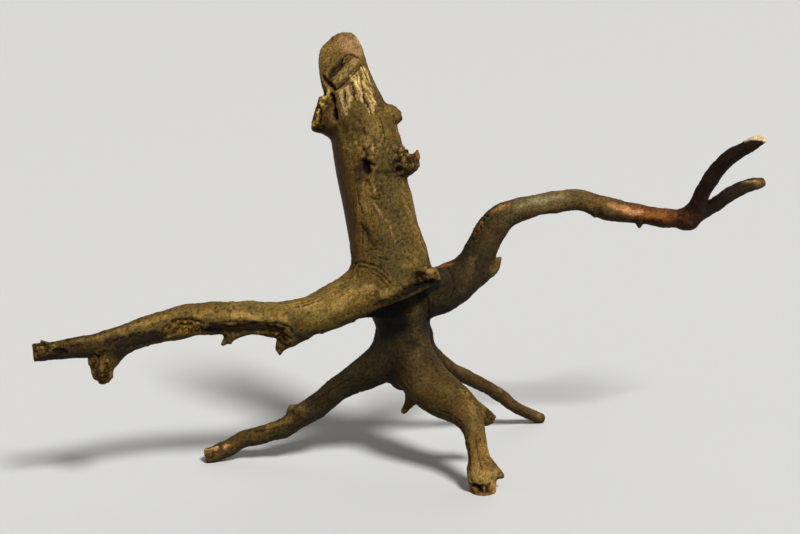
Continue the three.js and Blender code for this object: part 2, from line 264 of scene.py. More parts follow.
KINDS = {
    "torn": Kind((168, 138, 86), 0.85, 1.2, 1.3, fibre=0.9, calm=0.6),
    "strand": Kind((184, 156, 98), 0.85, 1, 0.6),
    "yellow": Kind((178, 150, 66), 0.9, 1.2, 1.2, fibre=0.5, crumb=0.3),
    "honey": Kind((140, 103, 40), 0.85, 1.4, 1.8, fibre=0.3, crumb=1.4),
    "crumbly": Kind((96, 71, 30), 0.8, 2.4, 1.6, fibre=0.2, crumb=1.4),
    "crust": Kind((72, 55, 26), 0.65, 3, 1.5, crumb=1.4),
    "lump": Kind((142, 117, 62), 0.7, 1.6, 0.9, crumb=0.8),
    "orange": Kind((156, 96, 44), 0.55, 2.6, 1.8),
    "patch": Kind((206, 144, 92), 0.85, 2, 1.8, calm=0.7),
    "blush": Kind((138, 96, 42), 0.5, 6, 2.5, calm=0.5),
    "pink": Kind((184, 140, 98), 0.75, 5, 2.5, calm=0.4),
    "tan": Kind((146, 116, 58), 0.5, 4, 2),
    "pale": Kind((170, 142, 82), 0.5, 3, 2.6),
    "lit": Kind((96, 77, 42), 0.5, 7, 3),
    "cut": Kind((214, 190, 146), 0.95, 0.8, 0.3, calm=0.9),
    "slab": Kind((136, 111, 62), 0.75, 0.7, 0.5, fibre=0.3, calm=0.5),
    "hollow": Kind((36, 27, 12), 0.85, 1.4, 0.8, calm=0.5),
    "red": Kind((84, 44, 24), 0.5, 2.2, 1.4),
    "plum": Kind((46, 28, 24), 0.85, 2, 1.5),
    "peeled": Kind((36, 24, 13), 0.92, 1.8, 1.2, calm=0.75, shine=0.3),
    "brown": Kind((84, 59, 22), 0.75, 3.5, 1.5, calm=0.85, shine=0.4),
    "olive": Kind((78, 67, 36), 0.6, 8, 3),
    "shade": Kind((9, 7, 4), 0.95, 7, 1.5),
    # painted shadow: near black where shade falls under edges, in hollows and under the arms
    "painted_shadow": Kind((8, 6, 4), 0.95, 2.6, 1.2),
    # a dark stain, also used as painted shade under the arms and below the burl
    "stain_and_painted_shade": Kind((38, 27, 15), 0.65, 4, 1.5),
    "pit": Kind((12, 8, 6), 0.92, 1.5, 1.1),
    "gap": Kind((18, 12, 7), 0.9, 1.2, 0.8),
    "crack": Kind((28, 16, 8), 0.85, 0.9, 0.6),
    "crease": Kind((34, 23, 12), 0.75, 1, 0.6),
    "seam": Kind((184, 144, 92), 0.55, 1, 0.5),
    # shinier bark with painted light: a narrow painted highlight and a wide paler wash along the arch's top
    "shine_and_painted_highlight": Kind((156, 146, 108), 0.5, 4, 1.4, calm=0.6, shine=1),
    "gloss_and_painted_light": Kind((112, 100, 66), 0.5, 10, 1, calm=0.6, shine=1),
    # the bark itself, swollen or pared away
    "swell": Kind((110, 90, 46), 0.2, 2.6, 0.6),
}


def each(kind, stand, *spots):
    """One small round mark at each spot."""
    return [(kind, stand, spot) for spot in spots]


# Each mark is (kind, how far it stands out, its stations...). A station is (x, y, z, radius), and a
# radius under 0 lets the mark fade out on its way there. A later mark lies over an earlier one.
MARKS = [
    # broad differences of the bark, with painted shade and shadow in the hollow under the trunk's front
    # edge and painted light on the stem's right
    ("brown", 0, (-50, -14, 202, 6), (-46.4, -17, 188, 8), (-43, -20, 170, 8.6), (-40.6, -21, 152, 7.6),
        (-38.6, -22, 138, 5.4)),
    ("brown", 0, (-54, -4, 195, 8), (-48, -6, 170, 8), (-43, -8, 145, 8)),
    ("olive", 0, (-20, -25, 200, 5), (-17, -26, 176, 8), (-15, -28, 158, 8), (-12, -31, 142, 8),
        (-10, -33, 126, 6)),
    ("olive", 0, (-22, -29, 146, 3), (-16, -30, 134, 4), (-12, -32, 124, 3)),
    ("stain_and_painted_shade", 0, (-30, -27.6, 150, 1.5), (-24, -29.6, 140, 2)),
    ("tan", 0, (-31, -26, 174, 2), (-29, -27.4, 160, 2.4)),
    ("tan", 0.1, (-12, -24, 204, 2), (-20, -24, 200, 2), (-24, -23, 207, 2)),
    ("pale", 0.1, (-30, -23.6, 201, 1.6), (-28, -24, 198, 1.4)),
    ("tan", 0, (-8, -30, 128, 2), (-2, -32, 127, 2)),
    ("blush", 0, (-36, -24.6, 140, 4), (-33.6, -26.6, 134, 4)),
    ("tan", 0, (-7, -22, 170, 2), (-3.7, -22, 156.3, 2), (0.3, -20.9, 145.6, 2), (5, -17.7, 133.2, 2)),
    ("orange", 0, (0.3, -20.6, 146, 1.4), (1.4, -20.8, 142, 1.2)),
    # painted shade in the hollow under the trunk's front edge, and painted shadow along the stem under that
    # edge and under the ledge's lip
    ("shade", 0, (-25.2, -17, 93, 5), (-18, -23.8, 96, 8), (-12, -22, 92, 7), (-19, -17, 84, 4)),
    ("painted_shadow", 0, (-26, -24, 98, 4), (-18.1, -24, 100, 4), (-12.3, -24, 102, 4), (-7, -24, 104, 4),
        (-1, -24, 107.5, 3.6), (4, -21, 110.5, 3.4), (9.7, -16, 112.4, 3)),
    ("painted_shadow", 0, (-26, -30, 102, 2), (-14, -30, 107, 2), (0, -32, 113.5, 2), (8, -34, 118, 1)),
    ("painted_shadow", -0.4, (-16, -33, 107.6, 0.6), (-10, -34.4, 111, 1.6), (-4.6, -35.8, 114.6, 2.6),
        (-0.6, -36.8, 117.4, 3.2), (4, -37.4, 119, 3), (9.6, -36, 119, 2)),
    ("pale", 0.1, (-46.7, -40.7, 105.9, 2), (-41.1, -39.3, 109, 2.6), (-37.2, -37.5, 113.2, 2)),
    ("pale", 0.1, (-29.3, -35.9, 115.1, 2.4), (-22.5, -34.5, 113, 2), (-14.6, -32.3, 114.3, 1.4)),
    # painted light on the stem's right
    ("lit", 0, (-2, -22, 104, 3), (-1, -20, 96, 4), (0.5, -18.8, 88, 4)),
    ("crust", 0.3, (-24.8, -32.9, 106.4, 1), (-15.7, -32.9, 109.4, 1.2), (-6.6, -35.4, 116, 1.2),
        (1.3, -37.1, 121.6, 1.4)),
    # the trunk's sawn top: a worn dome, a step, a block and the kerf under it
    ("pink", 0, (-42, 8, 251, 4.5), (-37.4, 2.8, 248.6, 5), (-35, -3, 244.5, 2.2)),
    ("pale", 0, (-40, 6, 250.4, 2.4), (-37.4, 3, 248.6, 2)),
    ("tan", 0, (-47.4, 9.6, 249.7, 4), (-50.2, 6.6, 245.4, 3.4), (-51.6, 2.6, 240.6, 2.4)),
    # painted shade in the recess between the dome and the block
    ("hollow", -2.4, (-43.4, -1.4, 241.4, 1.2), (-45.3, -3.1, 238.9, 2.2), (-47.2, -4.2, 236.8, 2.8),
        (-49, -5.6, 234.4, 2.4), (-50.4, -7.6, 231.8, 1.4)),
    ("slab", 1.1, (-35.5, -6.4, 240.9, 2.5), (-38.9, -8.5, 237.2, 3), (-42.8, -10.3, 233.4, 3),
        (-46.2, -12, 230, 2.2)),
    ("pale", 0.1, (-36, -7, 240.4, 1), (-39.4, -9.4, 236.4, 1.2), (-43.4, -11, 232.6, 1)),
    ("gap", -1, (-41.9, -0.4, 243.2, 0.5), (-38.5, -1.1, 244.4, 0.6), (-34.8, -4.8, 242.7, 0.5)),
    ("crack", -1, (-40.6, -3, 242, 0.4), (-44.1, -6.4, 238, 0.5), (-47.4, -9, 233.8, 0.6)),
    ("gap", -2.4, (-54.6, -4.2, 233, 1), (-51.4, -8.9, 230.2, 1.3), (-49, -12.6, 228, 1.1),
        (-47.2, -14.9, 226, 0.7)),
    ("crack", -1.6, (-31.6, -9, 239.6, 0.5), (-35.2, -11.4, 236, 0.6), (-38.8, -13.2, 232.6, 0.5),
        (-42.7, -14.9, 229.2, 0.7), (-45.5, -15.5, 226.7, 0.8)),
    ("torn", -0.5, (-29.8, -9.9, 235, 3.4), (-28.8, -12.1, 230.2, 3.6), (-26.4, -13.1, 225.8, 3)),
    ("torn", -0.6, (-35.5, -13.2, 233.6, 3), (-34.2, -15.4, 228.3, 4.2), (-33.6, -17.3, 222.9, 3)),
    ("torn", -0.4, (-42.3, -16.4, 225.5, 2.6), (-40.6, -17.9, 220.8, 3.8), (-41, -19, 214.1, 2.4)),
    ("torn", -0.4, (-27.6, -16.2, 221.2, 3.4), (-26.8, -18, 217, 3), (-26.3, -19.3, 213.6, 1.4)),
    ("strand", 0.6, (-39.8, -16.4, 227, 0.9), (-38.7, -18.2, 221, 1.4), (-38, -19.4, 217, 0.7)),
    ("strand", 0.5, (-43.8, -16.2, 226, 0.7), (-42.6, -17.4, 221.4, 1.2), (-42.4, -18.6, 217, 0.5)),
    ("strand", 0.5, (-25.6, -16.6, 219.6, 0.9), (-25.4, -18, 216, 1.1), (-25.6, -19.3, 213, 0.5)),
    ("strand", 0.4, (-30.4, -11.6, 233.4, 0.8), (-28.8, -13, 229, 1.1), (-27.6, -14, 226, 0.6)),
    ("strand", 0.5, (-32.6, -15.4, 226.4, 0.7), (-32, -17, 222, 1.1), (-31.6, -18, 219, 0.6)),
    ("crack", -1.1, (-37, -15, 229.4, 0.5), (-36, -16.6, 225, 0.8), (-35.4, -18, 220.5, 0.5)),
    ("crack", -1, (-41.6, -16, 225.6, 0.4), (-40.8, -17.4, 221.4, 0.7), (-40.6, -18.6, 217, 0.4)),
    ("crack", -0.9, (-32.6, -12.4, 233, 0.4), (-31.6, -14, 229, 0.6), (-30.6, -15, 225.5, 0.4)),
    ("gap", -1.6, (-30.4, -16.6, 222.4, 0.7), (-29.1, -17.6, 219.6, 1.1), (-28, -18.4, 216.9, 0.8)),
    ("plum", 0.2, (-27.5, -13.2, 227, 1.3)),
    ("olive", 0.2, (-35.9, -19.5, 215.6, 2), (-34.2, -20.7, 211, 3.4)),
    # the torn branch, with the dark gap between it and the trunk
    ("crust", 0, (-54, -14, 214, 4), (-55, -15, 207, 4)),
    ("yellow", 0.4, (-49.6, -12, 223.4, 2.2), (-53, -13.6, 221, 2.8), (-55.4, -14, 218, 2)),
    ("yellow", 0.3, (-57, -16, 215, 2.2), (-57.6, -16, 211, 2.8), (-58.6, -15, 206.6, 2)),
    *each("orange", 0.2, (-57.6, -15.6, 208.6, 0.9), (-57, -15.6, 213, 0.8)),
    ("red", -0.4, (-51.4, -16, 214, 1.8), (-51, -17, 208, 1.8)),
    ("gap", -1.4, (-55.4, -14.6, 216.4, 0.7), (-54.4, -16, 212, 0.8), (-54.8, -16.4, 207.6, 0.6)),
    ("gap", -1.8, (-59, -12, 217, 0.8), (-57, -15, 216.6, 0.8)),
    ("gap", -1.8, (-60, -12, 209.6, 0.7), (-58.6, -15, 209.6, 0.7)),
    ("gap", -1.6, (-53, -10, 224, 0.7), (-52, -13, 222, 0.6)),
    ("stain_and_painted_shade", 0, (-57, -15, 203, 2), (-51, -16, 200.6, 2)),
    ("gap", -1.9, (-48.4, -14, 223, 0.8), (-47.6, -15.6, 219.5, 0.8), (-47, -16.8, 215.6, 0.9),
        (-46.6, -17.4, 211.7, 1.2)),
    ("pit", -2, (-46.3, -17.6, 210, 1.3)),
    ("brown", 0, (-44, -19, 209, 1.2), (-40, -21, 203, 1.6)),
    ("stain_and_painted_shade", 0, (-42, -20, 208, 1.4), (-36, -22, 205, 1.4), (-30, -23.5, 203, 1.2)),
    # the crumbled bark below it
    *each("lump", 0.6, (-38.4, -24, 205, 0.9), (-31.5, -24, 207.3, 1), (-25.9, -24, 202.7, 1.1),
        (-21.3, -24, 209.6, 0.8), (-17.9, -24, 201, 0.9), (-35, -24, 200.4, 0.9), (-28, -24, 204, 0.7),
        (-22.5, -24, 195.2, 1.1), (-16.8, -24, 193, 0.9)),
    ("crack", -0.6, (-33, -23, 210, 0.3), (-30, -24, 203, 0.4), (-29, -24.4, 199, 0.3)),
    ("crease", -0.5, (-19, -22, 212, 0.3), (-18, -23, 204, 0.4), (-18, -23, 197, 0.3)),
    # the small knob and the burl on the right
    ("tan", 0, (-16, -14, 214, 2), (-13, -11, 212, 2)),
    ("swell", -3.2, (-8, -6, 213, 2.4), (-8, -6, 209, 3), (-8.6, -6.5, 206, 2.4)),
    ("red", 0, (-9.5, -8, 211, 1.2), (-9, -7.5, 208, 1.3)),
    ("crease", -0.5, (-13.4, -14, 216, 0.3), (-11.6, -13.4, 208, 0.4), (-11.4, -14, 201, 0.3)),
    ("crust", 0.5, (-11, -19, 191, 3.5), (-8.3, -20.4, 187.1, 4.5), (-4.9, -18, 184.5, 4)),
    ("crust", 0.3, (-14, -21, 184, 4), (-10, -18, 180, 3)),
    ("crust", 0.2, (-3, -16.5, 186, 3), (0.4, -15.5, 187.5, 2)),
    *each("lump", 0.9, (-13, -19.6, 193.6, 1.3), (-9.4, -19, 192, 1.4), (-5.4, -18.6, 189.6, 1.2)),
    ("lump", 0.8, (-12.6, -21.4, 188.6, 1.2)),
    ("lump", 0.9, (-7.6, -20.6, 186.4, 1.4)),
    ("lump", 0.7, (-3.4, -18, 183.4, 1.2)),
    ("gap", -1.2, (-11.4, -20.4, 191, 0.5), (-9.8, -21, 188.6, 0.7), (-10.6, -21.6, 186, 0.6)),
    ("gap", -1.2, (-7, -19.6, 190, 0.5), (-5.2, -19.4, 187.2, 0.7), (-5, -19.4, 184.6, 0.6)),
    ("yellow", 0.2, (-9.5, -20, 189.6, 0.8)),
    ("orange", 0, (-0.5, -15, 187, 1), (0.4, -15, 190, 1)),
    ("pit", -1.8, (-11.7, -22.1, 181.4, 1.2), (-9.6, -21.5, 180.8, 0.8)),
    # painted shadow under the burl
    ("painted_shadow", 0, (-9, -20, 177.6, 1.2), (-4.6, -17.5, 178, 1)),
    # the knot hole, the ridge of lumps over it and the long seam under it
    ("plum", 0.1, (-31, -25.8, 188, 2.4), (-29.4, -26.2, 184, 3.6), (-28, -26.4, 181, 2.6)),
    ("stain_and_painted_shade", 0, (-33.4, -26, 182, 2), (-31.4, -26.4, 178.6, 1.6)),
    *each("lump", 0.8, (-34.7, -24.3, 197, 1.1), (-32.6, -25, 193.6, 1.3), (-29.1, -24.9, 195.4, 1.2)),
    ("lump", 0.9, (-26.3, -25.1, 192.4, 1.4)),
    ("lump", 0.7, (-31.2, -25.4, 190.2, 1)),
    ("lump", 0.9, (-26.8, -25.7, 188.6, 1.2)),
    ("lump", 0.7, (-24.1, -24.7, 194, 1), (-23.6, -25, 190, 0.9)),
    ("gap", -1.1, (-30.8, -25, 193.6, 0.5), (-28.6, -25.2, 191.4, 0.6), (-28.8, -25.6, 189, 0.5)),
    ("strand", 0.2, (-26, -24.6, 196, 0.3), (-25.8, -25, 193, 0.4)),
    ("pit", -3.3, (-30, -25.9, 186.6, 1.3), (-28.6, -26.2, 183.8, 2.3), (-28.4, -26.5, 181.2, 1.6)),
    ("gap", -1.4, (-27, -25.9, 186.6, 0.7), (-25, -26, 184.4, 0.6)),
    # painted shade in a band below the burl
    ("stain_and_painted_shade", -0.4, (-22.9, -26.5, 180.4, 1.2), (-16.8, -25.1, 180.2, 1.5), (-11.1, -21.8, 180, 1.5)),
    ("seam", 0.1, (-45.6, -18.6, 194.2, 0.1), (-41, -22.4, 193.8, 0.2), (-36.4, -24.3, 192.6, 0.15)),
    ("red", 0, (-29.1, -26.6, 179.5, 0.6), (-26.6, -27.2, 176, 0.6), (-24.8, -27.6, 172, 0.4)),
    ("seam", 0.3, (-27.6, -26.8, 178.6, 0.2), (-26.1, -27.2, 175.6, 0.5), (-24.5, -27.6, 171.7, 0.5),
        (-23.6, -27.9, 168.4, 0.3)),
    ("crack", -0.8, (-26, -28, 166.8, 0.3), (-24.2, -28.1, 165.8, 0.5), (-22, -28.3, 165.8, 0.4)),
    ("plum", 0.3, (-22.9, -28.3, 163.6, 1)),
    ("seam", 0.5, (-24.7, -28.3, 163.8, 0.3), (-21.9, -29, 158.8, 0.7), (-19.8, -29.4, 155.8, 0.4)),
    ("seam", 0.1, (-19.6, -29.4, 155.4, 0.2), (-16.2, -29.8, 151.5, 0.3), (-14.5, -30.6, 145.3, 0.25),
        (-12.8, -31.1, 140.8, 0.15)),
    ("crease", -0.5, (-34.3, -26.2, 171, 0.3), (-32.6, -27, 163.4, 0.5), (-30.4, -27.8, 157.4, 0.3)),
    ("seam", 0.1, (-33.2, -26.2, 168, 0.2), (-31.6, -27, 162, 0.25)),
    ("crease", -0.4, (-31.5, -27.7, 151.6, 0.2), (-31, -28.1, 145.3, 0.3), (-31, -28.2, 139.6, 0.2)),
    ("crack", -0.8, (-8.3, -23, 167.6, 0.4), (-5.8, -21, 165.4, 0.5), (-4.4, -20.2, 162.5, 0.5),
        (-3.2, -20.6, 157.2, 0.35)),
    ("crease", -0.5, (2, -19.6, 141, 0.4), (5.4, -17, 132, 0.6), (8.5, -14, 125, 0.5)),
    # the wrinkles where the left arm grows out
    ("crease", -0.9, (-37, -24, 127.5, 0.3), (-32, -27.4, 129, 0.4), (-26.4, -30.4, 128.6, 0.4),
        (-20.6, -32, 126.4, 0.3), (-16.4, -32.9, 122.6, 0.2)),
    ("crease", -0.8, (-34, -26.4, 126, 0.3), (-27.8, -29.8, 126, 0.4), (-21.4, -32.2, 123.8, 0.4),
        (-15.6, -33, 118.6, 0.2)),
    ("crease", -0.5, (-25.9, -30.6, 131.6, 0.2), (-21.3, -31.7, 132.8, 0.3),
        (-16.8, -32.4, 131.4, 0.2)),
    ("crease", -0.3, (-29, -29, 135.6, 0.2), (-24.2, -30.8, 137.4, 0.25), (-18.5, -31.8, 136.2, 0.2)),
    ("crease", -0.6, (-25.9, -31, 124.3, 0.25), (-20.6, -32.3, 120.6, 0.35),
        (-17.2, -33.1, 116.4, 0.3)),
    ("crack", -0.6, (-42, -22, 122.5, 0.3), (-38.6, -23.6, 125, 0.5), (-35.4, -24.7, 126.7, 0.4)),
    # the broken ledge over the stem
    ("pale", 0.3, (1.6, -34.6, 125.2, 1.5), (4.6, -35.2, 125.4, 1.7), (7.6, -35.4, 124, 1.4)),
    ("orange", 0.2, (6, -35.6, 125.4, 0.6)),
    ("swell", -2.4, (12.6, -34.5, 125.6, 1.8)),
    ("swell", -1.6, (8, -38, 120.4, 1.2)),
    ("gap", -1.6, (9.6, -37, 124.6, 0.5), (11, -36.4, 122.6, 0.7)),
    ("crust", 0.2, (0, -36, 122, 3), (6, -37, 121.6, 3), (11, -36, 121.6, 2)),
    ("honey", 0.2, (4, -36.4, 123.4, 1), (8, -36.6, 123, 1)),
    ("gap", -1.8, (-1.6, -37, 117.4, 0.9), (3, -37.5, 118, 1.2), (8, -36.8, 118.6, 1.2),
        (12.6, -35.6, 119, 0.8)),
    # painted shadow under the ledge
    ("painted_shadow", 0, (1, -37.2, 117.6, 1.6), (6, -37.2, 118, 1.8), (11, -36, 118.6, 1.4)),
    ("red", 0, (11.6, -36.6, 121, 1.2)),
    ("gap", -0.9, (1, -36.6, 122.6, 0.5), (3.4, -37, 121, 0.6), (5, -37.2, 119.4, 0.5)),
    ("tan", 0.3, (-18.5, -33.3, 112.2, 1.5), (-14.6, -32.5, 113.1, 1.2), (-10, -33.2, 115.7, 1)),
    ("red", -0.3, (-23.6, -34.8, 113.2, 1.6), (-22.5, -33.6, 108.7, 1.6), (-20.3, -30.9, 105.1, 1.4)),
    ("tan", 0.3, (-33, -36, 110, 3), (-27, -36, 114, 2.4)),
    ("crack", -1, (5.3, -26, 110, 0.5), (5.6, -19.8, 106.2, 0.6), (5.9, -17.1, 98.6, 0.6),
        (6, -12, 90, 0.5)),
    ("crease", -0.5, (9, -20, 108, 0.4), (8.6, -17, 100, 0.4), (8.8, -14, 92, 0.4)),
    # painted light on the front leg's upper front
    ("lit", 0.3, (0.5, -18.6, 78, 1.2), (-0.7, -22, 71.6, 2), (0.4, -25.3, 65, 2)),
    # painted shade in the crotch between the left leg and the front leg
    ("shade", 0, (-14.7, -16, 59.5, 1.5), (-11.7, -20.6, 65.2, 1)),
    # the left arm: a hollow under a ridge, torn and crumbled places, and its spur, hook and prong
    ("tan", 0.5, (-124.4, -52.1, 104, 1.6), (-113.5, -49.7, 104.2, 1.8), (-99.8, -47.2, 103, 2),
        (-87.6, -45.7, 101.7, 1.8), (-74.7, -45.3, 99.6, 1.4)),
    ("peeled", -1.8, (-117, -48.6, 95, 2.8), (-106, -47.1, 95, 3.3), (-96, -45.8, 95, 3.6),
        (-86, -44.2, 94.4, 3.3), (-77, -43.4, 93.4, 2.2)),
    # painted shadow in the hollow
    ("painted_shadow", -0.4, (-117, -48, 94, 2.2), (-112.6, -47, 94, 2)),
    ("crumbly", 0.2, (-90, -43.5, 91.5, 1.8), (-80, -42, 90, 2)),
    ("gap", -0.8, (-116.4, -49.6, 98.6, 0.6), (-106.4, -48.9, 99.4, 0.5), (-97, -47.3, 99, 0.4),
        (-87.6, -45.9, 98.1, 0.4), (-78.7, -45.4, 97.6, 0.5), (-72.6, -44.8, 95.4, 0.6),
        (-70.6, -43.6, 91.6, 0.5)),
    ("pale", 0.3, (-103.5, -48.1, 102.5, 0.8), (-99, -47.5, 102, 1.2), (-90, -46, 101, 0.8)),
    ("pale", 0.1, (-64, -40, 104, 2), (-55, -39, 108, 2.4)),
    ("honey", -0.5, (-140.2, -56.6, 95, 2.6), (-135, -55.5, 98, 3.8), (-129.8, -54.1, 98, 4.2),
        (-124.5, -52.4, 95.6, 3.6), (-121, -49.8, 93.3, 2)),
    ("gap", -0.7, (-137, -55.6, 102, 0.6), (-131.4, -54.2, 103, 0.7), (-125.4, -52.8, 102, 0.6),
        (-120, -50.6, 99.4, 0.8)),
    ("pit", -1, (-131.5, -55, 100, 0.8), (-127, -53.6, 99, 0.9)),
    ("peeled", -0.8, (-166, -62, 90, 2.6), (-160, -60.8, 91, 3.4), (-153.1, -59.3, 92, 4),
        (-146, -57.6, 93, 3.6), (-141, -56, 94, 2)),
    ("tan", 0.3, (-160, -58.4, 99.4, 0.4), (-152, -57.4, 100.8, 0.8), (-146, -56.4, 102, 0.8),
        (-140, -55, 103.4, 0.4)),
    ("tan", 0.2, (-158, -58.4, 99.6, 0.2), (-151, -57.4, 101, 0.5), (-144, -56, 102.6, 0.2)),
    ("tan", 0, (-205, -70, 92, 1), (-190, -66.6, 93.4, 1.2), (-176, -63, 95.4, 1.6),
        (-162, -59, 98.8, 1.8), (-148, -55.4, 102.4, 1.8), (-134, -51, 105.6, 1.6)),
    ("red", 0.1, (-143.6, -55.6, 103.6, 0.8)),
    ("crust", 0.1, (-172, -62.6, 91, 2), (-166, -62, 93, 1.4)),
    ("gap", -0.7, (-171, -63, 91, 0.5), (-163, -61.4, 94, 0.5), (-154, -59.4, 96.4, 0.4)),
    ("crumbly", 0.2, (-176, -62, 86, 3), (-178, -63, 79, 4), (-175.8, -64, 72, 3.5),
        (-172.9, -64, 79.8, 3)),
    ("tan", 0.5, (-174.6, -65, 82, 0.8), (-175, -65, 77, 0.8)),
    ("gap", -0.9, (-177.6, -65, 83, 0.5), (-177.4, -65.4, 77, 0.6), (-178.4, -64.6, 71, 0.4)),
    ("crust", 0.2, (-185, -66, 90.5, 2.6), (-196, -68.6, 90.8, 3.4), (-207, -70.5, 89.4, 4.4)),
    ("crumbly", 0.1, (-204, -70, 89.6, 2.4), (-209.6, -71, 87.4, 2.6)),
    ("red", 0, (-183, -66, 91, 1.2), (-190, -67.6, 92, 1)),
    ("honey", 0.4, (-209.5, -71.5, 89.4, 1), (-206.6, -70, 91.6, 1.2)),
    # painted shadow and painted shade under the arm's tip
    ("painted_shadow", 0, (-199, -69, 85.6, 1.6), (-206, -70, 84, 1.4)),
    ("stain_and_painted_shade", 0, (-208, -69, 84, 2), (-196, -66, 84, 2), (-184, -62, 85, 2)),
    ("pit", -1.9, (-199.4, -70, 89, 1.2), (-196, -69.2, 88, 1.3), (-193.6, -68.4, 87.4, 0.7)),
    ("pit", -1.3, (-203.4, -70, 91, 0.9)),
    ("pale", 0.3, (-202.4, -70.6, 90, 0.3), (-200, -69.6, 91.4, 0.4)),
    ("gap", -0.6, (-191, -68, 91, 0.4), (-186, -66.6, 91.6, 0.4)),
    ("crumbly", 0, (-76, -42, 88, 3), (-75.6, -40.6, 83, 2.6)),
    ("red", 0, (-77, -40, 81, 1.6)),
    ("gap", -0.6, (-79.5, -42, 89, 0.5), (-76, -42.6, 91.5, 0.6), (-71.8, -42, 88.6, 0.5)),
    ("crust", 0.2, (-108, -45, 89, 2), (-109, -45, 86, 1.6)),
    ("crease", -0.4, (-70, -41.6, 106.6, 0.3), (-62, -41, 108.6, 0.4), (-53, -39, 112.6, 0.3)),
    ("tan", 0, (-60, -39, 108, 2), (-47, -38, 112, 3), (-37, -37, 114, 3)),
    # the right arm: its crusted bend, the worn arch with a painted highlight along its top and painted
    # shade under it, the bare patch and the red knee
    ("orange", 0, (12, -4.8, 122.5, 1.4), (20.4, -5.4, 123.3, 1.2)),
    # painted light on the arm's front where it leaves the trunk
    ("lit", 0, (32.4, -7, 126, 1.4), (29.5, -11.4, 116.9, 2), (26, -13.4, 109, 1.6)),
    ("crease", -0.6, (19.1, -11.1, 119.8, 0.4), (21.9, -15.2, 111.9, 0.5), (19, -15.9, 105.5, 0.4)),
    # painted shade under the arm's base
    ("shade", 0, (8, -6, 90, 1.5), (13.4, -12.5, 95, 1), (22, -12, 99, 1)),
    ("crust", 0.5, (33, 0, 137, 2.6), (34.5, 1.8, 141.5, 3.4), (39.3, 5.3, 148, 3)),
    ("honey", 0.3, (33.6, 0.6, 145, 1.4), (37, 3, 148.4, 1.3)),
    *each("lump", 0.7, (35.6, 1, 146.6, 0.8), (39, 4, 150, 0.8)),
    ("gap", -0.8, (34.6, 0.6, 143.4, 0.4), (37.4, 2.6, 145.6, 0.5)),
    ("orange", 0.2, (33.6, 0, 140.4, 0.7)),
    ("red", 0.2, (35.1, 0.6, 142.1, 1.2), (33.4, -0.5, 138.8, 1)),
    ("orange", 0, (44, 6.2, 152, 1), (49, 7.4, 154.4, 1.2), (54.5, 8.3, 155.8, 0.8)),
    ("pale", 0.1, (45.4, 6.6, 151.6, 0.8), (50, 7.4, 153.4, 0.8)),
    # gloss with a painted highlight along the arch's top
    ("gloss_and_painted_light", 0, (45, 6, 149, -5), (54, 7, 152.6, -1.6), (60, 8, 154.8, 1.6), (66.6, 10.3, 156.6, 2.2),
        (75.6, 12.5, 157.4, 2.2), (88, 15.5, 158.6, 1.6)),
    ("shine_and_painted_highlight", 0.1, (58.4, 8, 153, 0.5), (66.6, 10.3, 156.2, 1), (75.6, 12.5, 158, 1.2),
        (86, 15, 159.6, 0.6)),
    # painted shade along the arch's underside
    ("stain_and_painted_shade", 0, (52, 9, 143, 1.6), (62, 11, 146, 2.4), (75.9, 15.5, 148, 2.6), (93, 18.6, 149, 2.4)),
    ("stain_and_painted_shade", 0, (112, 19.6, 143, 1.4), (126, 20.6, 141, 1.8), (142, 22, 140.4, 1.8)),
    ("swell", 1, (103.4, 17.2, 152.6, 1.6), (104.3, 18.3, 148.5, 1.8), (106, 19.6, 144.6, 1.4)),
    ("crust", 0.2, (104.3, 18.3, 148.5, 2.4)),
    ("stain_and_painted_shade", -0.3, (108.6, 17.4, 152, 1), (110.2, 17.9, 147.6, 1.2)),
    ("patch", -0.2, (114.6, 18.4, 153, 0.9), (121, 18.9, 151.3, 2), (128.3, 19.3, 149.4, 2.2),
        (134.4, 20, 149.2, 1.3)),
    ("pale", 0.1, (113, 18.4, 153.4, 0.6), (118, 18.8, 152.4, 0.8)),
    ("crust", 0.1, (137, 20.4, 143.6, 1.4), (145.3, 21, 142.6, 1.4)),
    ("orange", 0, (137, 20.4, 147, 2), (147, 21, 146.6, 2.4)),
    *each("red", 0.3, (145.3, 21.2, 148.6, 0.9), (148.6, 21.3, 142.6, 1)),
    ("orange", 0.2, (155.4, 21.4, 146.6, 1.2)),
    ("red", 0.3, (154.6, 21.6, 145.6, 2), (159.3, 21.3, 144.8, 2.6), (162.5, 22, 142.6, 2)),
    ("crust", 0.2, (158, 21.3, 144, 2.6)),
    # the twigs' cut ends
    ("cut", 0, (190, 3.7, 195.4, 1), (194, 2.4, 197, 2), (198, 0.9, 198.2, 2.6), (203, 0, 198.6, 2.8)),
    ("tan", 0, (199, 40.3, 163.4, 0.8), (206, 41, 163.6, 1.2), (212, 43.6, 162.6, 1.4)),
    ("strand", 0.2, (201, 40.6, 163.6, 0.3), (207, 41.6, 163.8, 0.4)),
    # the front leg, its stump and its crumbled foot
    ("crease", -0.4, (28.6, -49, 32, 0.3), (28.8, -52, 24, 0.4), (29, -55, 14, 0.3)),
    ("crease", -0.4, (33, -50.6, 30, 0.2), (34.6, -54, 22, 0.35), (36.4, -57, 15, 0.2)),
    ("tan", 0.4, (25.6, -36.4, 55, 1.2), (29, -40, 51, 1.6), (31, -44, 46, 1.6), (31.6, -49, 36, 1.4)),
    # painted light along the front leg's top
    ("lit", 0.3, (4.4, -31, 59, 1.6), (13, -35.5, 55.8, 2.2), (21, -40, 52, 2), (28.8, -45.7, 44.7, 2),
        (31, -48.9, 37, 2)),
    ("honey", 0.2, (26.9, -34.1, 55, 1.4), (29, -38.3, 52, 1.6), (30.1, -41.7, 48, 1.2)),
    ("tan", 0.3, (29.9, -51, 29.8, 1.8), (30.9, -54.2, 21.9, 2.4), (32.4, -57.1, 14, 3)),
    ("red", 0.2, (18.4, -41.6, 48.2, 1)),
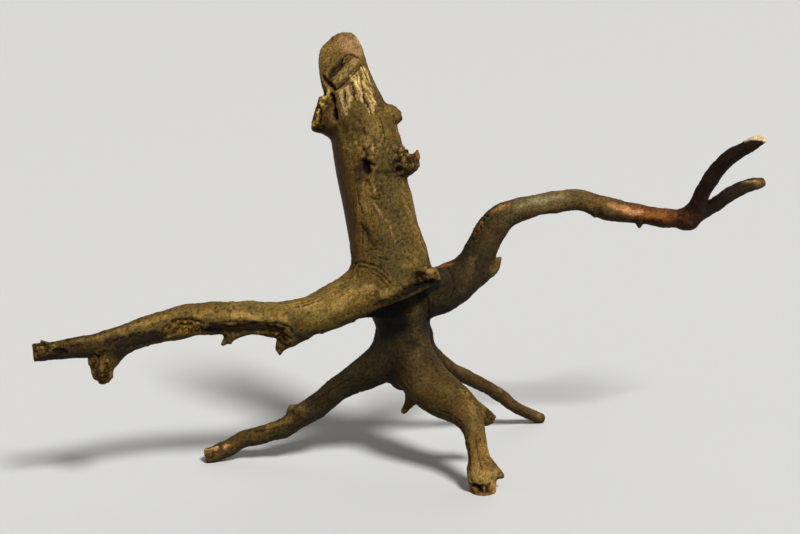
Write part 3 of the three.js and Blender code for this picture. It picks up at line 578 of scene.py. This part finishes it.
    ("crease", -0.3, (14, -37, 44, 0.2), (20, -43, 42.6, 0.3), (25, -46, 39, 0.2)),
    ("stain_and_painted_shade", 0, (25, -45, 38, 1.6), (27.4, -48, 30, 1.6), (28, -52, 18, 1.4)),
    ("pale", 0.2, (29.8, -56.4, 9.6, 2.6), (36, -59.6, 11, 3.4), (43.4, -56, 11, 3)),
    *each("lump", 0.5, (32, -57.7, 11, 1.4), (37.6, -59, 10, 1.5), (43, -56.6, 9, 1.4)),
    ("stain_and_painted_shade", 0, (30, -57, 2, 2.4), (36, -60, 1.6, 2.6), (42, -58, 1.4, 2)),
    ("stain_and_painted_shade", 0, (31, -57.8, 5, 1.6), (35, -59.4, 4.4, 2), (40, -59.2, 3.4, 1.8)),
    ("pit", -1.8, (30.6, -57.6, 4.8, 1)),
    ("pit", -2.4, (33.8, -59.2, 4.6, 1.6), (35.8, -59.7, 3.2, 1.3)),
    ("pit", -1.7, (39.6, -59.4, 2.6, 1.1)),
    ("gap", -1.2, (41.6, -58.4, 6, 0.4), (40.6, -59, 4, 0.6)),
    ("pit", -1.6, (32, -58.4, 5.8, 0.8), (36.4, -59.8, 5.4, 1), (40.4, -59, 4.4, 0.7)),
    ("lump", 0.6, (32.4, -58.4, 2.6, 0.7)),
    ("lump", 0.7, (37.8, -59.7, 4.6, 0.9)),
    ("red", 0, (43.4, -56, 3.6, 1)),
    ("red", 0, (29.6, -54, 12, 0.8), (29.8, -52, 20, 0.9)),
    ("honey", 0.4, (45.5, -53, 10.4, 1.6)),
    ("crust", 0.4, (41.6, -23.7, 38, 3), (44, -22.3, 33.5, 2.4)),
    ("stain_and_painted_shade", -0.4, (36.6, -27.7, 41.7, 1.6)),
    # the left leg and the back leg
    ("tan", 0, (-89.2, -5, 22.8, 1.4), (-81.8, -6.8, 25.9, 1.8), (-75.6, -8.6, 29.2, 1.4)),
    ("crease", -0.4, (-100.1, -4, 18.8, 0.3), (-90.9, -6, 21, 0.4), (-80, -8.6, 24, 0.3)),
    ("crease", -0.5, (-62, -9, 40, 0.4), (-50, -11.4, 48.6, 0.5), (-38.3, -14.2, 56, 0.4)),
    ("crust", 0.4, (-75.5, -6, 31.4, 2), (-71, -7.7, 32.7, 2)),
    ("patch", 0.2, (-114.6, -6.9, 10.6, 1.8), (-112.8, -6.6, 11.6, 1.4)),
    ("red", -0.4, (-113.4, -7, 10.6, 0.7)),
    ("pit", -0.8, (-111.2, -6.2, 9.6, 0.6)),
    ("crumbly", 0.2, (-127, -7, 6.6, 2.6), (-122.7, -8.1, 5.2, 2)),
    ("torn", 0, (-127, -6, 8.4, 1.6), (-120, -6.4, 9.6, 1.2)),
    # painted light along the back leg's top
    ("lit", 0, (14, 16, 60, 1), (27, 27.5, 49.6, 1.6), (33.5, 33.6, 45, 1.4)),
    *each("orange", 0.1, (40.6, 40, 37, 0.7), (53, 50, 28, 0.6)),
    ("tan", 0, (80, 66.4, 5, 1.8)),
    # the back, where nothing is known: two old knots, drying cracks and worn patches
    ("swell", 1.4, (-24, 10.5, 168, 3.4)),
    ("stain_and_painted_shade", 0, (-24, 11, 168, 3.4)),
    ("pit", -2.4, (-24, 11, 168, 1.5), (-23, 11, 166, 1.1)),
    ("swell", 1.2, (-5, 10, 118, 3)),
    ("crust", 0.3, (-5, 10, 118, 4)),
    ("pit", -1.6, (-5, 10, 117, 1.1)),
    ("crack", -0.9, (-24, 11, 162, 0.4), (-21, 10.6, 152, 0.6), (-19.4, 9.6, 141, 0.5),
        (-16, 9, 131, 0.3)),
    ("crack", -0.8, (-30, 12, 206, 0.4), (-28.4, 13, 196, 0.6), (-27.6, 13, 186, 0.4)),
    ("seam", 0.2, (-17, 8.4, 158, 0.3), (-14.4, 8, 150, 0.4), (-12.6, 7.6, 142, 0.3)),
    ("olive", 0, (-24, 10, 190, 7), (-16, 8, 150, 7)),
    ("tan", 0.3, (-110, -36, 106, 2), (-92, -30, 103, 3), (-74, -26, 101, 2.4)),
    ("peeled", -0.6, (-150, -45, 92, 2), (-140, -40, 94, 2.6), (-128, -36, 97, 2)),
    ("crust", 0.3, (-58, -22, 103, 3), (-50, -17, 105, 3)),
    ("tan", 0, (70, 22, 156, 1.6), (92, 28, 157, 1.8), (112, 30.4, 150, 1.6)),
    ("crack", -0.6, (72, 23.6, 152, 0.3), (88, 27.6, 153, 0.5), (104, 29.6, 150, 0.3)),
    ("orange", 0, (126, 30.6, 148, 1.6), (136, 31, 146, 1.2)),
]


def smooth_step(low, high, value):
    t = np.clip((value - low) / (high - low), 0, 1)
    return t * t * (3 - 2 * t)


def smooth_path(stations, step=STEP):
    """Samples of a smooth curve through the stations, with the radius as a fourth number."""
    s = np.array(stations, float)
    if len(s) == 1:
        return np.vstack([s, s + (0, 0, 0.01, 0)])
    s = np.vstack([2 * s[0] - s[1], s, 2 * s[-1] - s[-2]])
    samples = []
    for a, b, c, d in zip(s, s[1:], s[2:], s[3:]):
        count = max(1, round(np.linalg.norm((c - b)[:3]) / step))
        t = np.arange(count)[:, None] / count
        curve = 2 * b + (c - a) * t + (2 * a - 5 * b + 4 * c - d) * t**2 + (3 * b - a - 3 * c + d) * t**3
        samples.append(curve / 2)
    return np.vstack([*samples, s[-2:-1]])


def nearest(points, path):
    """How far each point is from the path, and where: the sample's number and the share past it."""
    distance = np.full(len(points), np.inf)
    place = np.zeros(len(points))
    for i, (a, b) in enumerate(zip(path[:-1, :3], path[1:, :3])):
        along = b - a
        share = np.clip((points - a) @ along / (along @ along), 0, 1)
        d = np.linalg.norm(points - a - share[:, None] * along, axis=1)
        closer = d < distance
        distance[closer] = d[closer]
        place[closer] = (i + share)[closer]
    return distance, place


def along_path(path, place):
    """The path's values at the places that nearest gives."""
    i = np.minimum(place.astype(int), len(path) - 2)
    share = (place - i)[:, None]
    return path[i] * (1 - share) + path[i + 1] * share


def within(points, path, margin):
    low = (path[:, :3] - path[:, 3:]).min(0) - margin
    high = (path[:, :3] + path[:, 3:]).max(0) + margin
    return ((points > low) & (points < high)).all(1)


def tube_distance(points, path, margin=REACH):
    """Signed distance to a tapered tube with round ends, and the place along it."""
    near = within(points, path, margin)
    distance = np.full(len(points), float(FAR))
    place = np.zeros(len(points))
    if near.any():
        d, place[near] = nearest(points[near], path)
        distance[near] = d - along_path(path, place[near])[:, 3]
    return distance, place


def smooth_min(a, b, width):
    h = np.clip(0.5 + 0.5 * (b - a) / width, 0, 1)
    return b * (1 - h) + a * h - width * h * (1 - h)


def noise(points, seed):
    """Smooth noise from about -1 to 1, with about one bump to a unit."""
    cell = np.floor(points).astype(np.int64)
    part = points - cell
    fade = part**3 * (part * (part * 6 - 15) + 10)
    total = np.zeros(len(points))
    for corner in itertools.product((0, 1), repeat=3):
        slope = 2 * shares(scramble(cell + corner, seed)) - 1
        share = np.prod(np.where(corner, fade, 1 - fade), axis=1)
        total += share * (slope * (part - corner)).sum(1)
    return 1.5 * total


def scramble(cell, seed):
    """A number with 24 random bits for each cell of the grid."""
    h = (cell * (73856093, 19349663, 83492791)).sum(1) + seed * 2654435761
    for shift, factor in ((16, 0x45D9F3B), (15, 0x119DE1F3), (16, 1)):
        h = ((h & 0xFFFFFFFF) ^ ((h & 0xFFFFFFFF) >> shift)) * factor
    return h & 0xFFFFFF


def shares(turn):
    """Three numbers from 0 to 1 out of each of scramble's numbers."""
    return np.stack([turn >> shift & 255 for shift in (0, 8, 16)], 1) / 255


def neighbours(points, seed):
    """For each of the 27 cells about each point, its scrambled number and how far its seat is."""
    cell = np.floor(points).astype(np.int64)
    for offset in itertools.product((-1, 0, 1), repeat=3):
        turn = scramble(cell + offset, seed)
        seat = cell + offset + shares(turn)
        yield turn, np.linalg.norm(points - seat, axis=1)


def layered(points, seed, layers=3):
    """Noise with finer and weaker layers added."""
    return sum(noise(points * 2**i, seed + i) / 2**i for i in range(layers))


def spots(points, share, seed):
    """Round spots in that share of the unit cells: 1 in a spot's middle and 0 outside it."""
    found = np.zeros(len(points))
    for turn, d in neighbours(points, seed):
        size = SPOT_SIZE + SPOT_SPREAD * (turn & 63) / 63
        chosen = (turn >> 4 & 1023) < 1023 * share
        found = np.maximum(found, chosen * smooth_step(size, SPOT_TOP * size, d))
    return found


def crumbs(points, seed):
    """How deep each point lies between round crumbs, from 0 at a crumb's middle to about 1."""
    nearest_two = np.full((len(points), 2), np.inf)
    for _, d in neighbours(points, seed):
        nearest_two = np.sort(np.column_stack([nearest_two, d]), axis=1)[:, :2]
    return 1 - np.clip(nearest_two[:, 1] - nearest_two[:, 0], 0, 1)


def unit(vectors):
    return vectors / np.linalg.norm(vectors, axis=-1, keepdims=True)


class Limb:
    """A limb's path with, at each sample, the length so far and two directions across the limb."""

    def __init__(self, name, stations, seed):
        self.path = smooth_path(stations)
        self.join = JOINS.get(name, DETAIL_JOIN if name in DETAILS else JOIN)
        self.tints = TINTS.get(name)
        along = unit(np.gradient(self.path[:, :3], axis=0))
        across = unit(np.cross(along, FRONT))
        outward = unit(np.cross(across, along))
        steps = np.linalg.norm(np.diff(self.path[:, :3], axis=0), axis=1)
        self.length = np.concatenate([[0], np.cumsum(steps)])
        self.guides = np.column_stack([across, outward, self.length])
        self.offset = seed * np.array(GRAIN_SHIFT)
        self.cuts = [CUTS[name]] if name in CUTS else []
        if name in SQUARE_ENDS:
            self.cuts.append((self.path[-1, :3], along[-1]))

    def distance(self, points):
        d, place = tube_distance(points, self.path)
        for middle, normal in self.cuts:
            d = -smooth_min(-d, -(points - middle) @ unit(np.array(normal, float)), CUT_ROUND)
        return d, place

    def grain(self, points, place):
        """Where each point is in the limb's grain: two steps across it, and one drawn out along it."""
        guides = along_path(self.guides, place)
        arm = points - along_path(self.path, place)[:, :3]
        across = (arm * guides[:, :3]).sum(1)
        outward = (arm * guides[:, 3:6]).sum(1)
        return np.column_stack([across, outward, guides[:, 6] / GRAIN_RUN]) + self.offset


def undercut_distance(points):
    """Signed distance to the hollow under the trunk's front edge."""
    slope = (math.cos(UNDERCUT_SLOPE), 0, math.sin(UNDERCUT_SLOPE))
    up = (-math.sin(UNDERCUT_SLOPE), 0, math.cos(UNDERCUT_SLOPE))
    width, depth, height = UNDERCUT_SIZE
    arm = points - UNDERCUT_EDGE
    sides = [np.abs(arm @ slope) - width / 2, np.abs(arm[:, 1] + depth / 2) - depth / 2,
             np.abs(arm @ up + height / 2) - height / 2]
    return np.max(sides, axis=0)


def root_distance(points):
    """Signed distance to the smooth root, with each limb's own distance and the place along it."""
    found = [limb.distance(points) for limb in limbs]
    total = found[0][0]
    for limb, (d, _) in zip(limbs[1:], found[1:]):
        total = smooth_min(total, d, limb.join)
    total = -smooth_min(-total, undercut_distance(points), UNDERCUT_ROUND)
    return total, np.array([d for d, _ in found]), np.array([place for _, place in found])


def add_tube(solid, limb):
    """Adds a detail's closed tube to a bmesh, so that the even mesh grows over it."""
    rings = []
    for (x, y, z, radius), guide in zip(limb.path, limb.guides):
        middle = np.array((x, y, z))
        angles = [math.tau * i / TUBE_SIDES for i in range(TUBE_SIDES)]
        corners = [middle + radius * (math.cos(a) * guide[:3] + math.sin(a) * guide[3:6]) for a in angles]
        rings.append([solid.verts.new(corner * MM) for corner in corners])
    for ring, following in zip(rings, rings[1:]):
        for i in range(TUBE_SIDES):
            j = (i + 1) % TUBE_SIDES
            solid.faces.new((ring[i], ring[j], following[j], following[i]))
    solid.faces.new(rings[0][::-1])
    solid.faces.new(rings[-1])


def even_copy(node, details):
    """The node's solid and the details as a new object with an even mesh of small quads."""
    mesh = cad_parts[node].data.copy()
    solid = bmesh.new()
    solid.from_mesh(mesh)
    for limb in details:
        add_tube(solid, limb)
    solid.to_mesh(mesh)
    solid.free()
    shape = bpy.data.objects.new("plain_root", mesh)
    bpy.context.scene.collection.objects.link(shape)
    remesh = shape.modifiers.new("even", "REMESH")
    remesh.mode = "VOXEL"
    remesh.voxel_size = VOXEL * MM
    depsgraph = bpy.context.evaluated_depsgraph_get()
    mesh = bpy.data.meshes.new_from_object(shape.evaluated_get(depsgraph))
    bpy.data.objects.remove(shape)
    mesh.materials.clear()
    piece = bpy.data.objects.new("root_wood", mesh)
    bpy.context.scene.collection.objects.link(piece)
    return piece


def read(collection, name, width, kind=float):
    values = np.empty(len(collection) * width, kind)
    collection.foreach_get(name, values)
    return values.reshape(-1, width)


def mean_of_neighbours(values, edges):
    first, second = edges.T
    count = np.bincount(edges.ravel(), minlength=len(values))
    sums = [
        np.bincount(first, column[second], len(values)) + np.bincount(second, column[first], len(values))
        for column in values.T
    ]
    return np.stack(sums, 1) / count[:, None]


def set_points(mesh, points):
    """Moves the mesh's vertices and returns their new normals."""
    mesh.vertices.foreach_set("co", (points * MM).ravel())
    mesh.update()
    return read(mesh.vertex_normals, "vector", 3)


def smooth_root(mesh, edges):
    """Draws the even mesh onto the smooth root, so that every limb grows out of its neighbour."""
    points = read(mesh.vertices, "co", 3) / MM
    for _ in range(ROUNDS):
        for _ in range(SMOOTHINGS):
            points += SMOOTHING * (mean_of_neighbours(points, edges) - points)
        normals = set_points(mesh, points)
        points -= normals * root_distance(points)[0][:, None]
    return points, set_points(mesh, points)


def linear(colour):
    c = np.array(colour, float) / 255
    return np.where(c <= 0.04045, c / 12.92, ((c + 0.055) / 1.055) ** 2.4)


def limb_tint(limb, place):
    stops, colours = zip(*(limb.tints or TINTS["trunk"]))
    share = place / (len(limb.path) - 1)
    return np.column_stack([np.interp(share, stops, channel) for channel in linear(colours).T])


def settled(path, wood):
    """The path's samples, each brought onto the wood's surface."""
    path = path.copy()
    for sample in path:
        touched = np.argmin(((wood.points - sample[:3]) ** 2).sum(1))
        normal = wood.normals[touched]
        sample[:3] -= normal * ((sample[:3] - wood.points[touched]) @ normal)
    return path


def inside(wood, stations, soft, ragged, seed):
    """1 inside a chain of balls and 0 outside it, fading over soft, with an edge as ragged as asked."""
    path = settled(smooth_path(stations, MARK_STEP), wood)
    d, _ = tube_distance(wood.points, path, margin=soft + 3 * ragged + 1)
    near = d < FAR
    d[near] += ragged * layered(wood.points[near] / (NOTCH_WIDTH * ragged + 1), seed)
    return 1 - smooth_step(-soft / 2, soft / 2, d)


class Wood:
    """What is known at each vertex of the smooth root."""

    def __init__(self, points, normals):
        _, own, places = root_distance(points)
        self.points = points
        self.normals = normals
        share = np.exp((own.min(0) - own) / GRAIN_BLEND)
        share /= share.sum(0)
        self.share = share
        self.places = places
        first, second = np.argsort(-share, axis=0)[:2]
        self.grains = [self.grain_of(which) for which in (first, second)]
        rows = np.arange(len(points))
        one, two = share[first, rows], share[second, rows]
        self.mix = two / (one + two)

    def grain_of(self, which):
        grain = np.zeros_like(self.points)
        for i, limb in enumerate(limbs):
            mine = which == i
            grain[mine] = limb.grain(self.points[mine], self.places[i][mine])
        return grain

    def grained(self, scale, seed, layers):
        """Noise drawn out along the limbs, scale millimetres across the grain."""
        one, two = (layered(grain / scale, seed, layers) for grain in self.grains)
        return (one * (1 - self.mix) + two * self.mix) / np.hypot(1 - self.mix, self.mix)

    def flecks_and_nicks(self):
        flecks = spots(self.points / CELL, FLECK_SHARE, SEEDS["flecks"])
        return flecks, spots(self.points / CELL, NICK_SHARE, SEEDS["nicks"])


def bark_relief(wood):
    """How far the bark stands out everywhere: slow swells, ridges along the grain and fine pits."""
    slow = SLOW_HEIGHT * layered(wood.points / SLOW_WIDTH, SEEDS["slow"], 2)
    ridges = wood.grained(RIDGE_WIDTH, SEEDS["ridges"], 2)
    furrows = smooth_step(FURROW_EDGE, 0, np.abs(wood.grained(FURROW_WIDTH, SEEDS["furrows"], 3)))
    pits = layered(wood.points / PIT_WIDTH, SEEDS["pits"], 2)
    rough = smooth_step(*ROUGH_LIMITS, layered(wood.points / ROUGH_WIDTH, SEEDS["rough"], 2))
    flecks, nicks = wood.flecks_and_nicks()
    fine = (PIT_DEPTH + ROUGH_PIT_DEPTH * rough) * pits + FLECK_HEIGHT * flecks - NICK_DEPTH * nicks
    return slow + RIDGE_HEIGHT * ridges - FURROW_DEPTH * furrows * rough + fine


def marked(wood, tone, height):
    """Adds every mark to the colours and the relief, and returns where wood is bare and where it shines."""
    bare = np.zeros(len(tone))
    shine = np.zeros(len(tone))
    fibres = wood.grained(FIBRE_WIDTH, SEEDS["fibres"], 2)
    grit = 0.5 - crumbs(wood.points / CRUMB_WIDTH, SEEDS["crumbs"])
    grit += GRIT_HEIGHT * layered(wood.points / GRIT_WIDTH, SEEDS["grit"], 2)
    for seed, (kind, stand, *stations) in enumerate(MARKS, SEEDS["marks"]):
        look = KINDS[kind]
        mask = inside(wood, stations, look.soft, look.ragged, seed)
        rise = look.fibre * fibres + look.crumb * grit
        height *= 1 - look.calm * mask
        height += mask * (stand + rise)
        colour = linear(look.colour) * np.exp(RELIEF_SHADE * rise)[:, None]
        tone += (look.cover * mask)[:, None] * (colour - tone)
        bare = np.maximum(bare * (1 - mask), mask * bool(look.fibre or look.crumb))
        shine = np.maximum(shine * (1 - mask), mask * look.shine)
    return bare, shine


def wood_tone(wood):
    """The bark's colour before the marks: each limb's own tints, mottled, with painted shade on the
    undersides.
    """
    tone = sum(share[:, None] * limb_tint(limb, place)
               for share, limb, place in zip(wood.share, limbs, wood.places))
    flecks, nicks = wood.flecks_and_nicks()
    mottle = CLOUD_SHADE * layered(wood.points / CLOUD_WIDTH, SEEDS["clouds"], 2)
    mottle += PATCH_SHADE * layered(wood.points / PATCH_WIDTH, SEEDS["patches"], 3)
    mottle += STREAK_SHADE * wood.grained(STREAK_WIDTH, SEEDS["streaks"], 3)
    mottle += DOT_SHADE * layered(wood.points / DOT_WIDTH, SEEDS["dots"], 2)
    mottle += CELL_SHADE * (flecks - nicks)
    warmth = WARMTH * layered(wood.points / WARMTH_WIDTH, SEEDS["warmth"], 2)
    # painted shade: the undersides are darkened in the colour
    painted_under_shade = 1 - UNDERSIDE_PAINTED_SHADE * smooth_step(*UNDER_LIMITS, wood.normals[:, 2])
    tone *= (np.exp(MOTTLE * mottle) * painted_under_shade)[:, None]
    return tone * (1 + warmth[:, None] * (1, 0, -1))


def hollow_dirt_and_painted_shade(points, normals, edges):
    """How much of its colour each point keeps: less in a hollow, as dirt and painted shade, and more on a
    ridge, as wear.
    """
    about = mean_of_neighbours(mean_of_neighbours(points, edges), edges)
    hollow = ((about - points) * normals).sum(1)
    return np.exp(-HOLLOW_SHADE * np.clip(hollow / HOLLOW_DEPTH, *HOLLOW_LIMITS))


def shape_wood(piece):
    """Grows the finished root on the even mesh, and stores what its material needs."""
    mesh = piece.data
    edges = read(mesh.edges, "vertices", 2, np.int32)
    points, normals = smooth_root(mesh, edges)
    wood = Wood(points, normals)
    tone = wood_tone(wood)
    height = bark_relief(wood)
    bare, shine = marked(wood, tone, height)
    height = np.clip(height, DEEPEST, HIGHEST)
    low, high = (np.array(corner) / MM for corner in CAD_BOX)
    points = np.clip(points + normals * height[:, None], low, high)
    normals = set_points(mesh, points)
    # dirt and painted shade in the hollows, wear on the ridges
    tone = np.clip(tone * hollow_dirt_and_painted_shade(points, normals, edges)[:, None], *TONE_LIMITS)
    store(mesh, "tone", "FLOAT_COLOR", np.column_stack([tone, np.ones(len(tone))]))
    store(mesh, "bare", "FLOAT", bare)
    store(mesh, "shine", "FLOAT", shine)
    store(mesh, "grain_mix", "FLOAT", wood.mix)
    for name, grain in zip(("grain_one", "grain_two"), wood.grains):
        store(mesh, name, "FLOAT_VECTOR", grain)
    mesh.polygons.foreach_set("use_smooth", np.ones(len(mesh.polygons), bool))


def store(mesh, name, kind, values):
    field = {"FLOAT": "value", "FLOAT_VECTOR": "vector", "FLOAT_COLOR": "color"}[kind]
    mesh.attributes.new(name, kind, "POINT").data.foreach_set(field, np.ravel(values).astype(np.float32))


class Nodes:
    """A material's node tree, with short calls for the nodes that the wood needs."""

    def __init__(self, material):
        material.use_nodes = True
        self.tree = material.node_tree
        self.shader = self.tree.nodes["Principled BSDF"]

    def link(self, source, target):
        if isinstance(source, (int, float, tuple)):
            target.default_value = source
        else:
            self.tree.links.new(source, target)

    def attribute(self, name, output):
        node = self.tree.nodes.new("ShaderNodeAttribute")
        node.attribute_name = name
        return node.outputs[output]

    def math(self, operation, first, second, third=0.0, clamp=False):
        node = self.tree.nodes.new("ShaderNodeMath")
        node.operation = operation
        node.use_clamp = clamp
        for value, socket in zip((first, second, third), node.inputs):
            self.link(value, socket)
        return node.outputs[0]

    def noise(self, vector, scale, detail, roughness):
        node = self.tree.nodes.new("ShaderNodeTexNoise")
        self.link(vector, node.inputs["Vector"])
        self.link(scale, node.inputs["Scale"])
        self.link(detail, node.inputs["Detail"])
        self.link(roughness, node.inputs["Roughness"])
        return node.outputs["Fac"]

    def blend(self, share, first, second):
        difference = self.math("SUBTRACT", second, first)
        return self.math("MULTIPLY_ADD", difference, share, first)

    def scaled(self, colour, factor):
        node = self.tree.nodes.new("ShaderNodeVectorMath")
        node.operation = "SCALE"
        self.link(colour, node.inputs[0])
        self.link(factor, node.inputs["Scale"])
        return node.outputs[0]

    def bump(self, height, strength, distance, normal=None):
        node = self.tree.nodes.new("ShaderNodeBump")
        self.link(height, node.inputs["Height"])
        self.link(strength, node.inputs["Strength"])
        self.link(distance, node.inputs["Distance"])
        if normal is not None:
            self.link(normal, node.inputs["Normal"])
        return node.outputs[0]


def add_colour(n, grain, grit, position, bare):
    """The stored colours, lightened and darkened by the grain, the grit, blotches and pale specks, partly
    dust and partly painted glints.
    """
    blotch = n.noise(position, **BLOTCH_NOISE)
    specks = n.math("MAXIMUM", n.math("SUBTRACT", n.noise(position, **SPECK_NOISE), SPECK_FROM), 0.0)
    light = 1.0
    for fine, amount in ((grain, GRAIN_LIGHT), (grit, GRIT_LIGHT), (blotch, BLOTCH_LIGHT)):
        light = n.math("MULTIPLY_ADD", n.math("SUBTRACT", fine, 0.5), amount, light)
    light = n.math("MULTIPLY_ADD", specks, SPECK_LIGHT, light)
    contrast = n.math("MULTIPLY_ADD", bare, BARE_CONTRAST, 1.0)
    light = n.math("MAXIMUM", n.blend(contrast, 1.0, light), LEAST_LIGHT)
    n.link(n.scaled(n.attribute("tone", "Color"), light), n.shader.inputs["Base Color"])


def add_gloss(n, grit, bare):
    rough = n.math("MULTIPLY_ADD", grit, GRIT_ROUGHNESS, ROUGHNESS)
    rough = n.math("MULTIPLY_ADD", bare, BARE_ROUGHNESS, rough)
    rough = n.math("MULTIPLY_ADD", n.attribute("shine", "Fac"), SHINE_ROUGHNESS, rough, clamp=True)
    n.link(rough, n.shader.inputs["Roughness"])
    n.shader.inputs["Specular IOR Level"].default_value = SPECULAR


def wood_material():
    """Weathered wood: the stored colours, with fine grain, pale specks (partly painted glints) and gloss
    worked out by nodes.
    """
    material = bpy.data.materials.new("weathered_wood")
    n = Nodes(material)
    mix = n.attribute("grain_mix", "Fac")
    bare = n.attribute("bare", "Fac")
    one, two = (n.noise(n.attribute(name, "Vector"), **GRAIN_NOISE) for name in ("grain_one", "grain_two"))
    grain = n.blend(mix, one, two)
    position = n.tree.nodes.new("ShaderNodeTexCoord").outputs["Object"]
    grit = n.noise(position, **GRIT_NOISE)
    add_colour(n, grain, grit, position, bare)
    add_gloss(n, grit, bare)
    normal = None
    fuzz = n.noise(position, **FUZZ_NOISE)
    for height, facts in ((fuzz, FUZZ_BUMP), (grit, GRIT_BUMP), (grain, GRAIN_BUMP)):
        normal = n.bump(height, *facts, normal)
    n.link(normal, n.shader.inputs["Normal"])
    return material


def plain_material(name, colour, roughness):
    material = bpy.data.materials.new(name)
    shader = Nodes(material).shader
    shader.inputs["Base Color"].default_value = (*linear(colour), 1)
    shader.inputs["Roughness"].default_value = roughness
    return material


def add_floor():
    mesh = bpy.data.meshes.new("floor")
    corners = [(x * FLOOR_HALF, y * FLOOR_HALF, 0) for x, y in ((-1, -1), (1, -1), (1, 1), (-1, 1))]
    mesh.from_pydata(corners, [], [(0, 1, 2, 3)])
    mesh.materials.append(plain_material("pale_floor", FLOOR_COLOUR, FLOOR_ROUGHNESS))
    floor = bpy.data.objects.new("floor", mesh)
    bpy.context.scene.collection.objects.link(floor)
    floor.visible_diffuse = False


def add_sun(name, direction, strength, spread, colour):
    data = bpy.data.lights.new(name, "SUN")
    data.energy = strength
    data.angle = math.radians(spread)
    data.color = colour
    lamp = bpy.data.objects.new(name, data)
    lamp.rotation_euler = Vector(direction).to_track_quat("Z", "Y").to_euler()
    bpy.context.scene.collection.objects.link(lamp)


def add_world():
    world = bpy.data.worlds.new("studio")
    world.use_nodes = True
    background = world.node_tree.nodes["Background"]
    background.inputs["Color"].default_value = (*linear(WORLD_COLOUR), 1)
    background.inputs["Strength"].default_value = WORLD_STRENGTH
    bpy.context.scene.world = world


def add_camera():
    data = bpy.data.cameras.new("camera")
    data.lens = LENS
    data.sensor_width = SENSOR
    data.clip_start = CLIP_START
    camera = bpy.data.objects.new("camera", data)
    camera.location = (CAD_BOX[0] + CAD_BOX[1]) / 2 + Vector(CAMERA_OFFSET)
    camera.rotation_euler = (math.radians(90 - CAMERA_TILT), 0, 0)
    bpy.context.scene.collection.objects.link(camera)
    bpy.context.scene.camera = camera


tables = {**LIMBS, **DETAILS}
limbs = [Limb(name, stations, seed) for seed, (name, stations) in enumerate(tables.items(), 1)]
root_wood = even_copy(NODE, limbs[len(LIMBS):])
shape_wood(root_wood)
root_wood.data.materials.append(wood_material())
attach(root_wood, "root")
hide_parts(NODE)

add_floor()
for sun_name, sun_facts in SUNS.items():
    add_sun(sun_name, *sun_facts)
add_world()
add_camera()
bpy.context.scene.view_settings.view_transform = "Standard"
